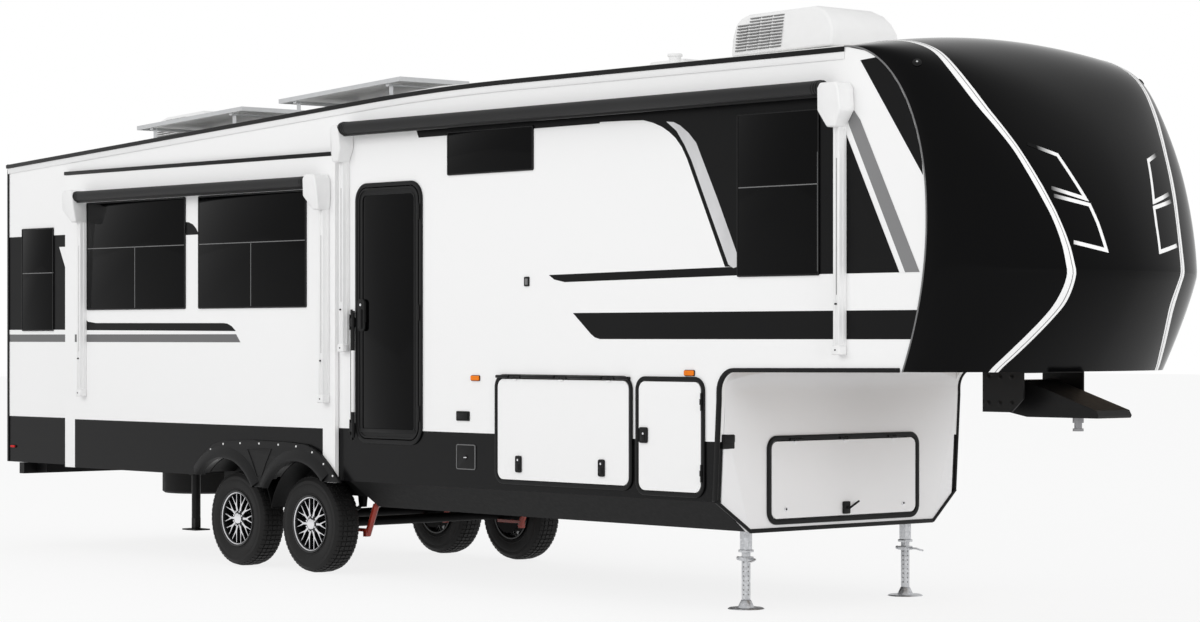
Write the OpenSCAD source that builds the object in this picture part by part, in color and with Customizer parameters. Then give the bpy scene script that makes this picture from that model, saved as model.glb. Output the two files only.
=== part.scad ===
// Fifth wheel travel trailer, parked on its wheels and landing legs.
// +X points forward to the kingpin, -Y is the door side, +Y the road side.
// The origin is on the ground under the middle of the body.

/* [Body] */
// Width over the side walls
body_w = 2440; // [2380:10:2500]
// Rear wall behind the origin
rear_x = 5950; // [5700:10:6200]
// Tip of the nose ahead of the origin
nose_x = 5950; // [5800:10:6200]
// Lower front wall
front_x = 3340; // [3320:5:3400]
// Thickness of the walls
wall_t = 45; // [40:1:50]
// Lower edge of the side walls
skirt_z = 757; // [740:1:770]
// Underside of the bed overhang
deck_z = 1660; // [1640:5:1700]
// Roof edge at the rear wall
roof_rear_z = 3450; // [3420:5:3500]
// Roof edge over the front half
roof_z = 3780; // [3760:5:3850]
// Where the roof stops rising
roof_bend_x = 300; // [100:10:500]
// Thickness of the roof at its edge
roof_t = 50; // [40:1:60]
// Rise of the roof between its edge and its middle
roof_crown = 50; // [30:1:60]
// The same rise where the roof meets the nose cap
cap_crown = 115; // [60:1:120]
// Radius of the cove under the overhang
cove_r = 150; // [120:5:180]

/* [Nose cap] */
// Rear end of the cap on the roof
cap_top_x = 4508; // [4450:5:4550]
// Most forward point of the cap's side edge
cap_edge_x = 5225; // [5200:5:5250]
// Height of that point
cap_edge_z = 2640; // [2600:10:2700]
// Height of the nose tip
nose_z = 2300; // [2280:10:2340]
// How far the nose falls back from its tip to the overhang
nose_fall = 364; // [330:1:400]

/* [Floors] */
// Top of the cabin floor
floor_z = 1060; // [1055:1:1065]
// Thickness of the cabin floor
floor_t = 70; // [60:1:80]
// Top of the storage bay floor
bay_z = 820; // [815:1:825]
// Thickness of the bay floor and of the bed deck
deck_t = 60; // [50:1:60]
// Front face of the wall between the cabin and the bay
bay_x = 950; // [930:1:960]
// Underside of the belly pan
pan_z = 545; // [540:1:560]

/* [Running gear] */
// Hub of the front axle
axle_front_x = -1430; // [-1450:5:-1420]
// Distance between the axles
axle_step = 1010; // [1000:5:1030]
// Outer radius of a tyre
tyre_r = 391; // [385:1:395]
// Width of a tyre
tyre_w = 235; // [225:1:240]
// Outer face of a tyre from the middle
tyre_y = 1170; // [1165:1:1175]
// Bead radius of a rim
rim_r = 203; // [198:1:208]
// Radius of an axle tube
axle_r = 38; // [35:1:42]
// Outer face of the chassis rails from the middle
rail_y = 920; // [915:1:922]
// Width of a rail
rail_w = 66; // [60:1:70]
// Underside of the rails over the axles
rail_z = 730; // [725:1:735]
// Half width of the flat underside of the body
pan_y = 932; // [930:1:940]

/* [Slide-outs] */
// Rear edge of the slide's outer face
slide_x0 = -4920; // [-4950:5:-4900]
// Front edge of the slide's outer face
slide_x1 = -960; // [-970:1:-950]
// Top of the slide's outer face
slide_z1 = 3310; // [3300:1:3320]
// How far a slide box reaches into the cabin
slide_depth = 905; // [850:5:930]
// Thickness of the slide's outer face
fascia_t = 35; // [30:1:38]
// Clearance round moving pieces
move_gap = 6; // [5:1:8]

/* [Pin] */
// Kingpin ahead of the origin
pin_x = 5453; // [5440:1:5470]
// Underside of the pin's plate
pin_plate_z = 1358; // [1350:1:1370]
// Radius of the kingpin's lower flange
pin_flange_r = 35.75; // [35.7:0.05:35.8]

/* [Hidden] */

half_w = body_w / 2;
inner_y = half_w - wall_t;
seat = 0.3;                       // running or seating clearance
big = 20000;                      // larger than the trailer
roof_slope = atan((roof_z - roof_rear_z) / (rear_x + roof_bend_x));
facet_z = 1460;                   // top of the front wall's corner facets
facet_back = 40;                  // how far a facet's outer corner is set back
rail_in = rail_y - rail_w;
axle_xs = [axle_front_x, axle_front_x - axle_step];
wheel_y = tyre_y - tyre_w / 2;
arch_r = tyre_r + 113;
fascia_out = move_gap + fascia_t; // outer face of a slide from the wall face
hinge_out = 20;                   // hinge axes stand this far off the wall face
knuckle_r = 8;
hinge_pin_r = 4;

// Openings of the curb side in the plane of the wall: [x0, z0, x1, z1, corner radius]
rear_window = [-5704, 1940, -5170, 2860, 40];
transom = [398, 3100, 1393, 3430, 40];
bed_window = [3512, 2290, 4283, 3390, 40];
slide_windows = [[-4555, 2120, -3033, 3056, 40], [-2842, 2120, -1332, 3056, 40]];
door_box = [-717, 1080, 84, 3060, 120];
bay_door_large = [985, 827, 2441, 1596, 70];
bay_door_small = [2524, 804, 3182, 1587, 70];
gen_door = [-745, 614, 745, 1180, 60];          // [y0, z0, y1, z1, corner radius]
rear_wall_window = [-600, 2000, 600, 2750, 60]; // [y0, z0, y1, z1, corner radius]

// Height of the roof surface
function roof_edge(x) = x < roof_bend_x
    ? roof_rear_z + (x + rear_x) * tan(roof_slope) : roof_z;
function crown_at(x) = x < roof_bend_x ? roof_crown
    : roof_crown + (cap_crown - roof_crown) * (x - roof_bend_x) / (cap_top_x - roof_bend_x);
function roof_top(x, y) = roof_edge(x) + crown_at(x) * (1 - pow(y / half_w, 2));

// Side edge of the nose cap, and its nose on the middle line, by height
function cap_edge(z) = z > cap_edge_z
    ? cap_top_x + (cap_edge_x - cap_top_x)
        * sqrt(max(0, 1 - pow((z - cap_edge_z) / (roof_z - cap_edge_z), 2.2)))
    : cap_edge_x - 206 * pow((cap_edge_z - z) / (cap_edge_z - deck_z), 2);
function cap_nose(z) = z > nose_z
    ? cap_top_x + (nose_x - cap_top_x)
        * pow(max(0, 1 - pow((z - nose_z) / (roof_z - nose_z), 1.3)), 0.36)
    : nose_x - nose_fall * pow((nose_z - z) / (nose_z - deck_z), 1.18);
function cap_rise(z) = max(0, z - cap_edge_z) / (roof_z - cap_edge_z);
// Squareness of the plan section: round below, nearly square at the roof
function cap_power(z) = 1.8 + 10.5 * pow(cap_rise(z), 7.5);
// A point of the cap's skin at height z and turn a, inset from the outer face
function cap_point(z, a, inset) = [
    cap_edge(z) + max(0, cap_nose(z) - inset - cap_edge(z))
        * pow(max(0, 1 - pow(abs(sin(a)), cap_power(z))), 0.415),
    (half_w - inset) * sin(a),
    z + cap_crown * pow(cap_rise(z), 3.2) * pow(cos(a), 2)];
cap_rows = 24;
cap_gap = 2;                      // joint between a side wall and the cap
corner_gap = 13;                  // and what it gains at the roof, where the cap's rim leans in
cap_turns = [-90:5:90];
cap_cols = 37;
function cap_level(i, inset) = deck_z + (roof_z - inset - deck_z) * sin(90 * i / cap_rows);

module both_sides() {
    children();
    mirror([0, 1, 0]) children();
}

// A sheet parallel to the side wall: its outer face stands out from the wall face
module side_sheet(out, t) {
    translate([0, -half_w - out + t, 0]) rotate([90, 0, 0]) linear_extrude(t) children();
}

// A sheet across the trailer with its front face at x, drawn as (y, z)
module cross_sheet(x, t) {
    translate([x - t, 0, 0]) rotate([90, 0, 90]) linear_extrude(t) children();
}

// A bar of constant section along X, drawn as (y, z)
module long_bar(x0, x1) {
    translate([x0, 0, 0]) rotate([90, 0, 90]) linear_extrude(x1 - x0) children();
}

// A rectangle with round corners, grown on all sides by g
module round_rect(b, g = 0) {
    r = max(1, b[4] + g);
    translate([b[0] - g + r, b[1] - g]) square([b[2] - b[0] + 2 * (g - r), b[3] - b[1] + 2 * g]);
    translate([b[0] - g, b[1] - g + r]) square([b[2] - b[0] + 2 * g, b[3] - b[1] + 2 * (g - r)]);
    for (x = [b[0] - g + r, b[2] + g - r], z = [b[1] - g + r, b[3] + g - r])
        translate([x, z]) circle(r = r, $fn = 48);
}

module box_at(lo, hi) {
    translate(lo) cube(hi - lo);
}

module tube_y(r, y0, y1) {
    translate([0, y1, 0]) rotate([90, 0, 0]) cylinder(r = r, h = y1 - y0, $fn = 96);
}

module tube_x(r, x0, x1) {
    translate([x0, 0, 0]) rotate([0, 90, 0]) cylinder(r = r, h = x1 - x0, $fn = 64);
}

// Outline of a side wall, with the cove and the cap's edge
module wall_outline() {
    cove = [for (a = [0:10:90])
        [front_x + cove_r * (1 - cos(a)), deck_z - cove_r * (1 - sin(a))]];
    edge = [for (i = [0:cap_rows]) let (z = cap_level(i, wall_t))
        [cap_edge(z) - cap_gap - corner_gap * pow(cap_rise(z), 16), z]];
    polygon(concat([[-rear_x, skirt_z], [front_x - facet_back, skirt_z], [front_x, facet_z]],
        cove, edge, [[cap_top_x - cap_gap, roof_z], [roof_bend_x, roof_z], [-rear_x, roof_rear_z]]));
}

// The hole in the wall that a slide box passes through
slide_hole = [slide_x0 + 90, floor_z - 25, slide_x1 - 90, slide_z1 - 30, 1];

module wall_holes() {
    round_rect(slide_hole);
    for (x = axle_xs) translate([x, tyre_r]) circle(r = arch_r + 16, $fn = 96);
    round_rect(rear_window, -20);
    round_rect(bed_window, -20);
    round_rect(large_leaf, move_gap);
}

// A side wall: sections behind and ahead of the slide, with a header and a sill between them
module wall_sections() {
    x0 = slide_hole[0] + seat;
    x1 = slide_hole[2] - seat;
    for (b = [[-rear_x, 0, slide_hole[0], big], [x0, slide_hole[3], x1, big],
            [x0, 0, x1, slide_hole[1]], [slide_hole[2], 0, big, big]])
        side_sheet(0, wall_t) intersection() {
            children();
            translate([b[0], b[1]]) square([b[2] - b[0], b[3] - b[1]]);
        }
}

module wall_curb() {
    color("whitesmoke") wall_sections() difference() {
        wall_outline();
        wall_holes();
        round_rect(transom, -20);
        round_rect(door_leaf, move_gap);
        round_rect(small_leaf, move_gap);
    }
}

module wall_road() {
    color("whitesmoke") mirror([0, 1, 0]) wall_sections() difference() {
        wall_outline();
        wall_holes();
    }
}

module wall_rear() {
    color("whitesmoke") cross_sheet(-rear_x + wall_t, wall_t) difference() {
        translate([-inner_y, skirt_z]) square([2 * inner_y, roof_rear_z - roof_t - skirt_z]);
        round_rect(rear_wall_window, -20);
    }
}

// Roof: three sections, flat below and crowned above, joined by straight strips
module roof_panel() {
    strips = 20;
    xs = [-rear_x, roof_bend_x, cap_top_x - 0.5];
    n = strips + 3;
    points = [for (x = xs) each concat(
        [for (i = [0:strips]) let (y = inner_y * (2 * i / strips - 1)) [x, y, roof_top(x, y)]],
        [[x, inner_y, roof_edge(x) - roof_t], [x, -inner_y, roof_edge(x) - roof_t]])];
    around = [for (k = [0:len(xs) - 2], i = [0:n - 1]) let (j = (i + 1) % n, a = k * n, b = a + n)
        each [[a + i, b + i, b + j], [a + i, b + j, a + j]]];
    color("gainsboro") polyhedron(points = points, faces = concat(around,
        [[for (i = [0:n - 1]) i]], [[for (i = [n - 1:-1:0]) 2 * n + i]]), convexity = 4);
}

// Front wall of the lower body: flat, coved at the top, with a sloping facet at each corner
module front_wall() {
    color("lightgray") difference() {
        intersection() {
            union() {
                box_at([front_x - wall_t, -inner_y, pan_z], [front_x, inner_y, deck_z - cove_r]);
                translate([0, inner_y, 0]) rotate([90, 0, 0]) linear_extrude(2 * inner_y)
                    difference() {
                        intersection() {
                            translate([front_x + cove_r, deck_z - cove_r])
                                circle(r = cove_r + wall_t, $fn = 96);
                            translate([front_x - wall_t, deck_z - cove_r])
                                square([cove_r + wall_t, cove_r]);
                        }
                        translate([front_x + cove_r, deck_z - cove_r])
                            circle(r = cove_r, $fn = 96);
                    }
            }
            cross_sheet(front_x + 300, 600) polygon([[-inner_y, skirt_z - 15],
                [-pan_y, pan_z], [pan_y, pan_z], [inner_y, skirt_z - 15],
                [inner_y, deck_z], [-inner_y, deck_z]]);
        }
        both_sides() corner_facet_cut();
        cross_sheet(front_x + 1, wall_t + 2) round_rect(gen_leaf, move_gap);
    }
}

// Everything ahead of the facet plane at the curb side corner
module corner_facet_cut() {
    a = [front_x, -half_w, facet_z];
    b = [front_x - facet_back, -half_w, skirt_z];
    c = [front_x, -pan_y, pan_z];
    n = cross(b - a, c - a);
    tilt = acos(abs(n[0]) / norm(n));
    s = n[0] > 0 ? 1 : -1;
    axis = cross([1, 0, 0], s * n / norm(n));
    translate(a) rotate(a = tilt, v = axis) translate([0, -2000, -2000]) cube([600, 4000, 4000]);
}

module nose_cap() {
    outer = [for (i = [0:cap_rows], a = cap_turns) cap_point(cap_level(i, 0), a, 0)
        + [0.5, 0, 0]];
    inner = [for (i = [0:cap_rows], a = cap_turns) cap_point(cap_level(i, wall_t), a, wall_t)
        + [0.5, 0, 0]];
    n = len(outer);
    function at(i, j) = i * cap_cols + j;
    skin = [for (i = [0:cap_rows - 1], j = [0:cap_cols - 2])
        each [[at(i, j), at(i, j + 1), at(i + 1, j + 1)], [at(i, j), at(i + 1, j + 1), at(i + 1, j)]]];
    lining = [for (f = skin) [f[0] + n, f[2] + n, f[1] + n]];
    foot = [for (j = [0:cap_cols - 2])
        each [[at(0, j), at(0, j) + n, at(0, j + 1) + n], [at(0, j), at(0, j + 1) + n, at(0, j + 1)]]];
    top = [for (j = [0:cap_cols - 2])
        each [[at(cap_rows, j), at(cap_rows, j + 1), at(cap_rows, j + 1) + n],
            [at(cap_rows, j), at(cap_rows, j + 1) + n, at(cap_rows, j) + n]]];
    ends = [for (i = [0:cap_rows - 1]) each [
        [at(i, 0), at(i + 1, 0), at(i + 1, 0) + n], [at(i, 0), at(i + 1, 0) + n, at(i, 0) + n],
        [at(i, cap_cols - 1), at(i + 1, cap_cols - 1) + n, at(i + 1, cap_cols - 1)],
        [at(i, cap_cols - 1), at(i, cap_cols - 1) + n, at(i + 1, cap_cols - 1) + n]]];
    color("black") polyhedron(points = concat(outer, inner),
        faces = [for (f = concat(skin, lining, foot, top, ends)) [f[2], f[1], f[0]]], convexity = 6);
}

module main_floor() {
    color("tan") box_at([-rear_x + wall_t, -inner_y, floor_z - floor_t],
        [bay_x - wall_t, inner_y, floor_z]);
}

module bay_floor() {
    color("dimgray") box_at([bay_x, -inner_y, bay_z - deck_t], [front_x - wall_t, inner_y, bay_z]);
}

module bulkhead() {
    color("gainsboro") box_at([bay_x - wall_t, -inner_y, bay_z - deck_t], [bay_x, inner_y, deck_z]);
}

// Bed deck, out to the inside of the cap
module bedroom_deck() {
    front = [for (a = cap_turns) let (p = cap_point(deck_z, a, wall_t + seat)) [p[0], p[1]]];
    color("gainsboro") translate([0, 0, deck_z]) linear_extrude(deck_t)
        polygon(concat([[bay_x - wall_t, inner_y - seat], [bay_x - wall_t, -inner_y + seat]],
            front));
}

// Pan under the lower body, from the side walls in to the rails, with holes for the legs
module belly_pan() {
    t = 5;
    color("black") difference() {
        long_bar(-820, front_x - wall_t) polygon([[-half_w, skirt_z], [-pan_y, pan_z],
            [pan_y, pan_z], [half_w, skirt_z], [half_w - 2 * t, skirt_z], [pan_y - t, pan_z + t],
            [-pan_y + t, pan_z + t], [-half_w + 2 * t, skirt_z]]);
        both_sides() translate([leg_x, -leg_y, 0]) cube([leg_w + 4, leg_w + 4, 3000], center = true);
    }
}

module channel(len, h, w, t) {
    linear_extrude(len) difference() {
        square([w, h]);
        translate([t, t]) square([w, h - 2 * t]);
    }
}

// Each rail is an I-beam in three lengths: over the axles, stepped down under the cabin,
// and under the storage bay. Channels cross between the rails.
rail_low = pan_z + 5;
bay_under = bay_z - deck_t;
floor_under = floor_z - floor_t;
rail_step_x = -800;
rail_foot_x = -700;
rail_rear_x = -rear_x + wall_t;
rail_mid_x = bay_x - wall_t;
module rail_beam(x0, x1, z0, z1, foot_x) {
    web = 10;
    flange = 12;
    translate([0, -rail_y + rail_w / 2 + web / 2, 0]) rotate([90, 0, 0]) linear_extrude(web)
        polygon([[x0, min(z1, z0 + (foot_x > x0 ? rail_z - rail_low : 0))], [foot_x, z0], [x1, z0],
            [x1, z1], [x0, z1]]);
    box_at([x0, -rail_y, z1 - flange], [x1, -rail_in, z1]);
    box_at([foot_x, -rail_y, z0], [x1, -rail_in, z0 + flange]);
}

module chassis_rails() {
    cross_y = rail_in - seat;
    color("black") {
        both_sides() {
            rail_beam(rail_rear_x, rail_step_x - seat, rail_z, floor_under, rail_rear_x);
            rail_beam(rail_step_x, rail_mid_x - seat, rail_low, floor_under, rail_foot_x);
            rail_beam(rail_mid_x, front_x - wall_t, rail_low, bay_under, rail_mid_x);
        }
        for (x = [-5600, -4950, -4250, -3720, -2950, -1935, -900, 0])
            translate([x, cross_y, floor_under - 100]) rotate([90, 0, 0])
                channel(2 * cross_y, 100, 50, 6);
        for (x = [950, 1700, 2450, 3070])
            translate([x, cross_y, bay_under - 100]) rotate([90, 0, 0])
                channel(2 * cross_y, 100, 50, 6);
    }
}

// Landing legs: square outer tubes, drop legs with a row of holes, foot pads
leg_x = 3180;
leg_w = 80;
leg_y = rail_in - leg_w / 2 - seat;
module landing_legs() {
    drop_w = 62;
    color("silver") both_sides() translate([leg_x, -leg_y, 0]) {
        translate([-leg_w / 2, -leg_w / 2, 400]) cube([leg_w, leg_w, bay_under - 400 - 1]);
        difference() {
            translate([-drop_w / 2, -drop_w / 2, 60]) cube([drop_w, drop_w, 350]);
            for (z = [100:32:380]) translate([0, 0, z]) tube_x(7, -60, 60);
        }
        cylinder(r1 = 130, r2 = 118, h = 12, $fn = 64);
        translate([0, 0, 12]) cylinder(r1 = 70, r2 = 46, h = 50, $fn = 64);
        translate([-leg_w / 2 - 8, -leg_w / 2 - 8, 330]) cube([leg_w + 16, leg_w + 16, 34]);
        translate([leg_w / 2 - 110, 0, 347]) tube_x(9, -60, 60);
    }
}

// Rear jacks, raised
jack_x = -3560;
jack_y = 800;
module rear_jacks() {
    color("black") both_sides() translate([jack_x, -jack_y, 0]) {
        translate([0, 0, 330]) cylinder(r = 38, h = floor_z - floor_t - 330 - 0.5, $fn = 64);
        translate([-28, -28, 240]) cube([56, 56, 92]);
        translate([-100, -75, 228]) cube([200, 150, 12]);
        box_at([-30, jack_y - rail_in + seat, 700], [30, -30, 960]);
    }
}

// Axle tubes with brake plates and spindles
spindle_r = 30;
plate_y = rail_y - 17;
module axles() {
    color("dimgray") for (x = axle_xs) translate([x, 0, tyre_r]) {
        tube_y(axle_r, -plate_y - 6, plate_y + 6);
        tube_y(spindle_r, -wheel_y - 38, wheel_y + 38);
        both_sides() tube_y(160, -plate_y - 6, -plate_y);
    }
}

// Leaf packs on top of the axles, with hangers and the equalizer between them
spring_half = 320;
spring_arch = 90;
spring_w = 42;
leaf_t = 8;
leaves = 5;
spring_y = rail_in + 18;
module spring_pack(x) {
    top = tyre_r + axle_r + leaves * leaf_t;
    r = (pow(spring_half, 2) + pow(spring_arch, 2)) / (2 * spring_arch);
    translate([x, top + r]) for (k = [0:leaves - 1]) {
        half = spring_half - 52 * k;
        intersection() {
            difference() {
                circle(r = r + (k + 1) * leaf_t, $fn = 720);
                circle(r = r + k * leaf_t, $fn = 720);
            }
            translate([-half, -r - 100]) square([2 * half, r]);
        }
    }
}

module leaf_springs() {
    eye_z = tyre_r + axle_r + leaves * leaf_t + spring_arch - leaf_t / 2;
    mid = axle_front_x - axle_step / 2;
    color("black") both_sides() translate([0, -spring_y, 0]) {
        translate([0, spring_w / 2, 0]) rotate([90, 0, 0]) linear_extrude(spring_w) {
            for (x = axle_xs) {
                spring_pack(x);
                for (s = [-1, 1]) translate([x + s * spring_half, eye_z]) circle(r = 22, $fn = 48);
                translate([x - 45, tyre_r + axle_r + leaves * leaf_t - 4]) square([90, 16]);
            }
            polygon([[mid - 200, eye_z - 18], [mid + 200, eye_z - 18], [mid + 200, eye_z + 20],
                [mid + 40, 660], [mid - 40, 660], [mid - 200, eye_z + 20]]);
            polygon([[mid - 60, rail_z], [mid + 60, rail_z], [mid + 30, 620], [mid - 30, 620]]);
            for (s = [-1, 1]) translate([mid + s * (axle_step / 2 + spring_half), 0])
                polygon([[-55, rail_z], [55, rail_z], [24, eye_z - 24], [-24, eye_z - 24]]);
        }
    }
}

// Shock absorbers ahead of the axles, from the rails down to the axle brackets
module rod_between(p, q, r) {
    d = q - p;
    translate(p) rotate([0, atan2(norm([d[0], d[1]]), d[2]), atan2(d[1], d[0])])
        cylinder(r = r, h = norm(d), $fn = 48);
}

shock_y = 800;
module shocks() {
    color("firebrick") both_sides() for (x = axle_xs) translate([x, -shock_y, 0]) {
        rod_between([480, 0, 722], [370, 0, 480], 17);
        rod_between([400, 0, 545], [290, 0, 303], 26);
        box_at([462, shock_y - rail_in + seat, rail_z], [498, 20, rail_z + 12]);
        box_at([462, -40, 705], [498, 20, rail_z + 12]);
        box_at([0, -34, tyre_r - axle_r - 24], [310, 8, tyre_r - axle_r - seat]);
        box_at([272, -34, 290], [310, 8, tyre_r - axle_r - seat]);
    }
}

module bumper() {
    color("black") {
        box_at([-rear_x - 90, -1050, 640], [-rear_x - 10, 1050, 740]);
        both_sides() box_at([-rear_x - 10, -rail_y + 5, 650], [-rear_x + wall_t + 120, -rail_in - 5, rail_z]);
    }
}

// Spare wheel slung flat under the rear cross members
module spare_wheel() {
    x = -4575;
    top = rail_z - 6;
    color("black") translate([x, 0, top - tyre_w]) {
        rotate_extrude($fn = 128) intersection() {
            translate([tyre_r - 90, tyre_w / 2]) scale([1, 1]) circle(r = tyre_w / 2 + 18, $fn = 96);
            translate([rim_r, 0]) square([tyre_r - rim_r, tyre_w]);
        }
        translate([0, 0, 40]) cylinder(r = rim_r, h = 60, $fn = 96);
        translate([0, 0, 90]) cylinder(r = 18, h = floor_z - floor_t - 6 - top + tyre_w - 90.3 + 6, $fn = 48);
    }
}

// Slide box: outer face with its wheel arches, end walls, roof and floor, open to the cabin
box_z0 = floor_z + move_gap;
box_z1 = slide_hole[3] - move_gap;
box_x0 = slide_hole[0] + move_gap;
box_x1 = slide_hole[2] - move_gap;
module slide_box() {
    t = 40;
    lip = 50;                     // the inner flange stands this far past the box
    lip_t = 20;
    y0 = -half_w - move_gap + seat;
    y1 = y0 + slide_depth;
    y2 = y1 - lip_t - seat;
    in_x0 = box_x0 + t;
    in_x1 = box_x1 - t;
    side_sheet(fascia_out, fascia_t) difference() {
        translate([slide_x0, skirt_z - 17])
            square([slide_x1 - slide_x0, slide_z1 - skirt_z + 17]);
        for (x = axle_xs) translate([x, tyre_r]) circle(r = arch_r, $fn = 96);
        for (w = slide_windows) round_rect(w, -20);
    }
    for (x = [box_x0, in_x1]) box_at([x, y0, box_z0], [x + t, y2, box_z1]);
    box_at([in_x0 + seat, y0, box_z1 - t], [in_x1 - seat, y2, box_z1]);
    box_at([in_x0 + seat, y0, box_z0], [in_x1 - seat, y2, box_z0 + t]);
    for (x = [box_x0 + 400, (box_x0 + box_x1) / 2, box_x1 - 400])
        box_at([x - 40, y0 + 60, floor_z + seat], [x + 40, y2, box_z0]);
    box_at([box_x0 - lip, y2 + seat, box_z0], [in_x0, y1, box_z1 + lip]);
    box_at([in_x1, y2 + seat, box_z0], [box_x1 + lip, y1, box_z1 + lip]);
    box_at([in_x0 + seat, y2 + seat, box_z1 - t], [in_x1 - seat, y1, box_z1 + lip]);
    box_at([in_x0 + seat, y2 + seat, box_z0], [in_x1 - seat, y1, box_z0 + t]);
}

module slide_box_curb() {
    color("whitesmoke") slide_box();
}

module slide_box_road() {
    color("whitesmoke") mirror([0, 1, 0]) slide_box();
}

// A window: a frame that lies on the wall face and a pane with its surround in the hole
module window_in(b, out) {
    side_sheet(out + 10, 10) difference() {
        round_rect(b);
        round_rect(b, -32);
    }
    side_sheet(out + 4, 30) round_rect(b, -21);
}

module windows_curb() {
    color("black") for (b = [rear_window, transom, bed_window]) window_in(b, 0);
}

module windows_road() {
    color("black") mirror([0, 1, 0]) for (b = [rear_window, bed_window]) window_in(b, 0);
}

module slide_windows_curb() {
    color("black") for (b = slide_windows) window_in(b, fascia_out);
}

module slide_windows_road() {
    color("black") mirror([0, 1, 0]) for (b = slide_windows) window_in(b, fascia_out);
}

module window_rear() {
    color("black") {
        cross_sheet(-rear_x, 10) difference() {
            round_rect(rear_wall_window);
            round_rect(rear_wall_window, -32);
        }
        cross_sheet(-rear_x + 26, 30) round_rect(rear_wall_window, -21);
    }
}

// Double arch fender that stands out from the slide's face
fender_w = 60;
module fender_outline() {
    mid = axle_front_x - axle_step / 2;
    half = axle_step / 2;
    difference() {
        union() {
            polygon([[mid - half - 420, 749], [mid - half - 286, 918], [mid - half - 150, 1000],
                [mid - half, 1033], [mid - half + 370, 1049], [mid + half - 115, 1044],
                [mid + half + 111, 1032], [mid + half + 220, 1003], [mid + half + 314, 958],
                [mid + half + 574, 744]]);
            polygon([[mid - 160, 760], [mid + 160, 760], [mid + 60, 671], [mid - 60, 671]]);
        }
        for (x = axle_xs) translate([x, tyre_r]) circle(r = arch_r, $fn = 96);
    }
}

module slide_fender() {
    plate = 34;
    side_sheet(fascia_out + plate, plate) fender_outline();
    side_sheet(fascia_out + fender_w, fender_w - plate + 1) intersection() {
        fender_outline();
        for (x = axle_xs) translate([x, tyre_r]) circle(r = arch_r + 62, $fn = 96);
    }
}

module slide_fender_curb() {
    color("black") slide_fender();
}

module slide_fender_road() {
    color("black") mirror([0, 1, 0]) slide_fender();
}

// Awnings: a roller between two heads, and an arm below each head
// [rear head x0, x1, front head x0, x1, head z0, z1, arm z0, roller radius, roller z, stand-off,
//  rear arm x, front arm x]
main_awning = [-895, -768, 4390, 4600, 3290, 3540, 1780, 50, 3510, 0, -857, 4490];
over_slide = [-4745, -4562, -1200, -1010, 2925, 3165, 1378, 44, 3110, fascia_out, -4602, -1065];
arm_w = 70;
module awning_roll(a) {
    translate([0, -half_w - a[9] - 100, a[8]]) tube_x(a[7], a[1] + seat, a[2] - seat);
}

module awning_posts(a) {
    y = -half_w - a[9];
    for (h = [[a[0], a[1], a[10]], [a[2], a[3], a[11]]]) {
        c = h[2];
        box_at([h[0], y - 155, a[4] + 60], [h[1], y, a[5]]);
        translate([0, y, 0]) rotate([90, 0, 0]) linear_extrude(110)
            polygon([[h[0], a[4] + 60], [h[1], a[4] + 60], [c + arm_w / 2, a[4] - 40],
                [c - arm_w / 2, a[4] - 40]]);
        box_at([c - arm_w / 2, y - 80, a[6]], [c + arm_w / 2, y, a[4] - 40]);
    }
}

module awning_roller() {
    color("black") awning_roll(main_awning);
}

module awning_arms() {
    color("white") awning_posts(main_awning);
}

module slide_awning() {
    color("white") awning_posts(over_slide);
    color("black") awning_roll(over_slide);
}

// Set down on the roof at x, y: the base clears the crown under a footprint of half width b
module on_roof(x, y, b) {
    under = max(0, abs(y) - b);
    ridge_slope = atan((cap_crown - roof_crown) / (cap_top_x - roof_bend_x));
    translate([x, y, roof_top(x, under) + seat])
        rotate([0, x < roof_bend_x ? -roof_slope : -ridge_slope, 0]) children();
}

// Air conditioners: [x of the middle, length, width, height]
ac_table = [[3050, 1000, 700, 330], [-4450, 900, 700, 300]];
module air_conditioner(len, w, h) {
    difference() {
        translate([0, w / 2, 0]) rotate([90, 0, 0]) linear_extrude(w)
            polygon([[-len / 2, 0], [len / 2, 0], [len / 2, h * 0.45], [len / 2 - 90, h * 0.85],
                [len / 2 - 200, h], [-len / 2 + 130, h], [-len / 2 + 30, h * 0.85],
                [-len / 2, h * 0.5]]);
        for (k = [0:5]) translate([-len / 2 - 1, -w * 0.36, 50 + 22 * k])
            cube([14, w * 0.72, 12]);
        for (k = [0:6]) translate([-len / 2 + 60, -w / 2 - 1, 50 + 26 * k])
            cube([len * 0.38, 14, 13]);
        for (s = [-1, 1]) translate([0, s * w / 2, h * 0.95]) rotate([s * -35, 0, 0])
            cube([2 * len, 60, 60], center = true);
    }
}

module roof_units() {
    color("whitesmoke") {
        for (a = ac_table) on_roof(a[0], 0, a[2] / 2) air_conditioner(a[1], a[2], a[3]);
        for (v = [[-5300, 0], [-900, 0], [1700, 0]]) on_roof(v[0], v[1], 200)
            translate([-200, -200, 0]) difference() {
                cube([400, 400, 90]);
                translate([20, 20, 60]) cube([360, 360, 40]);
            }
        on_roof(2150, -520, 60) cylinder(r = 55, h = 90, $fn = 48);
    }
}

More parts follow.
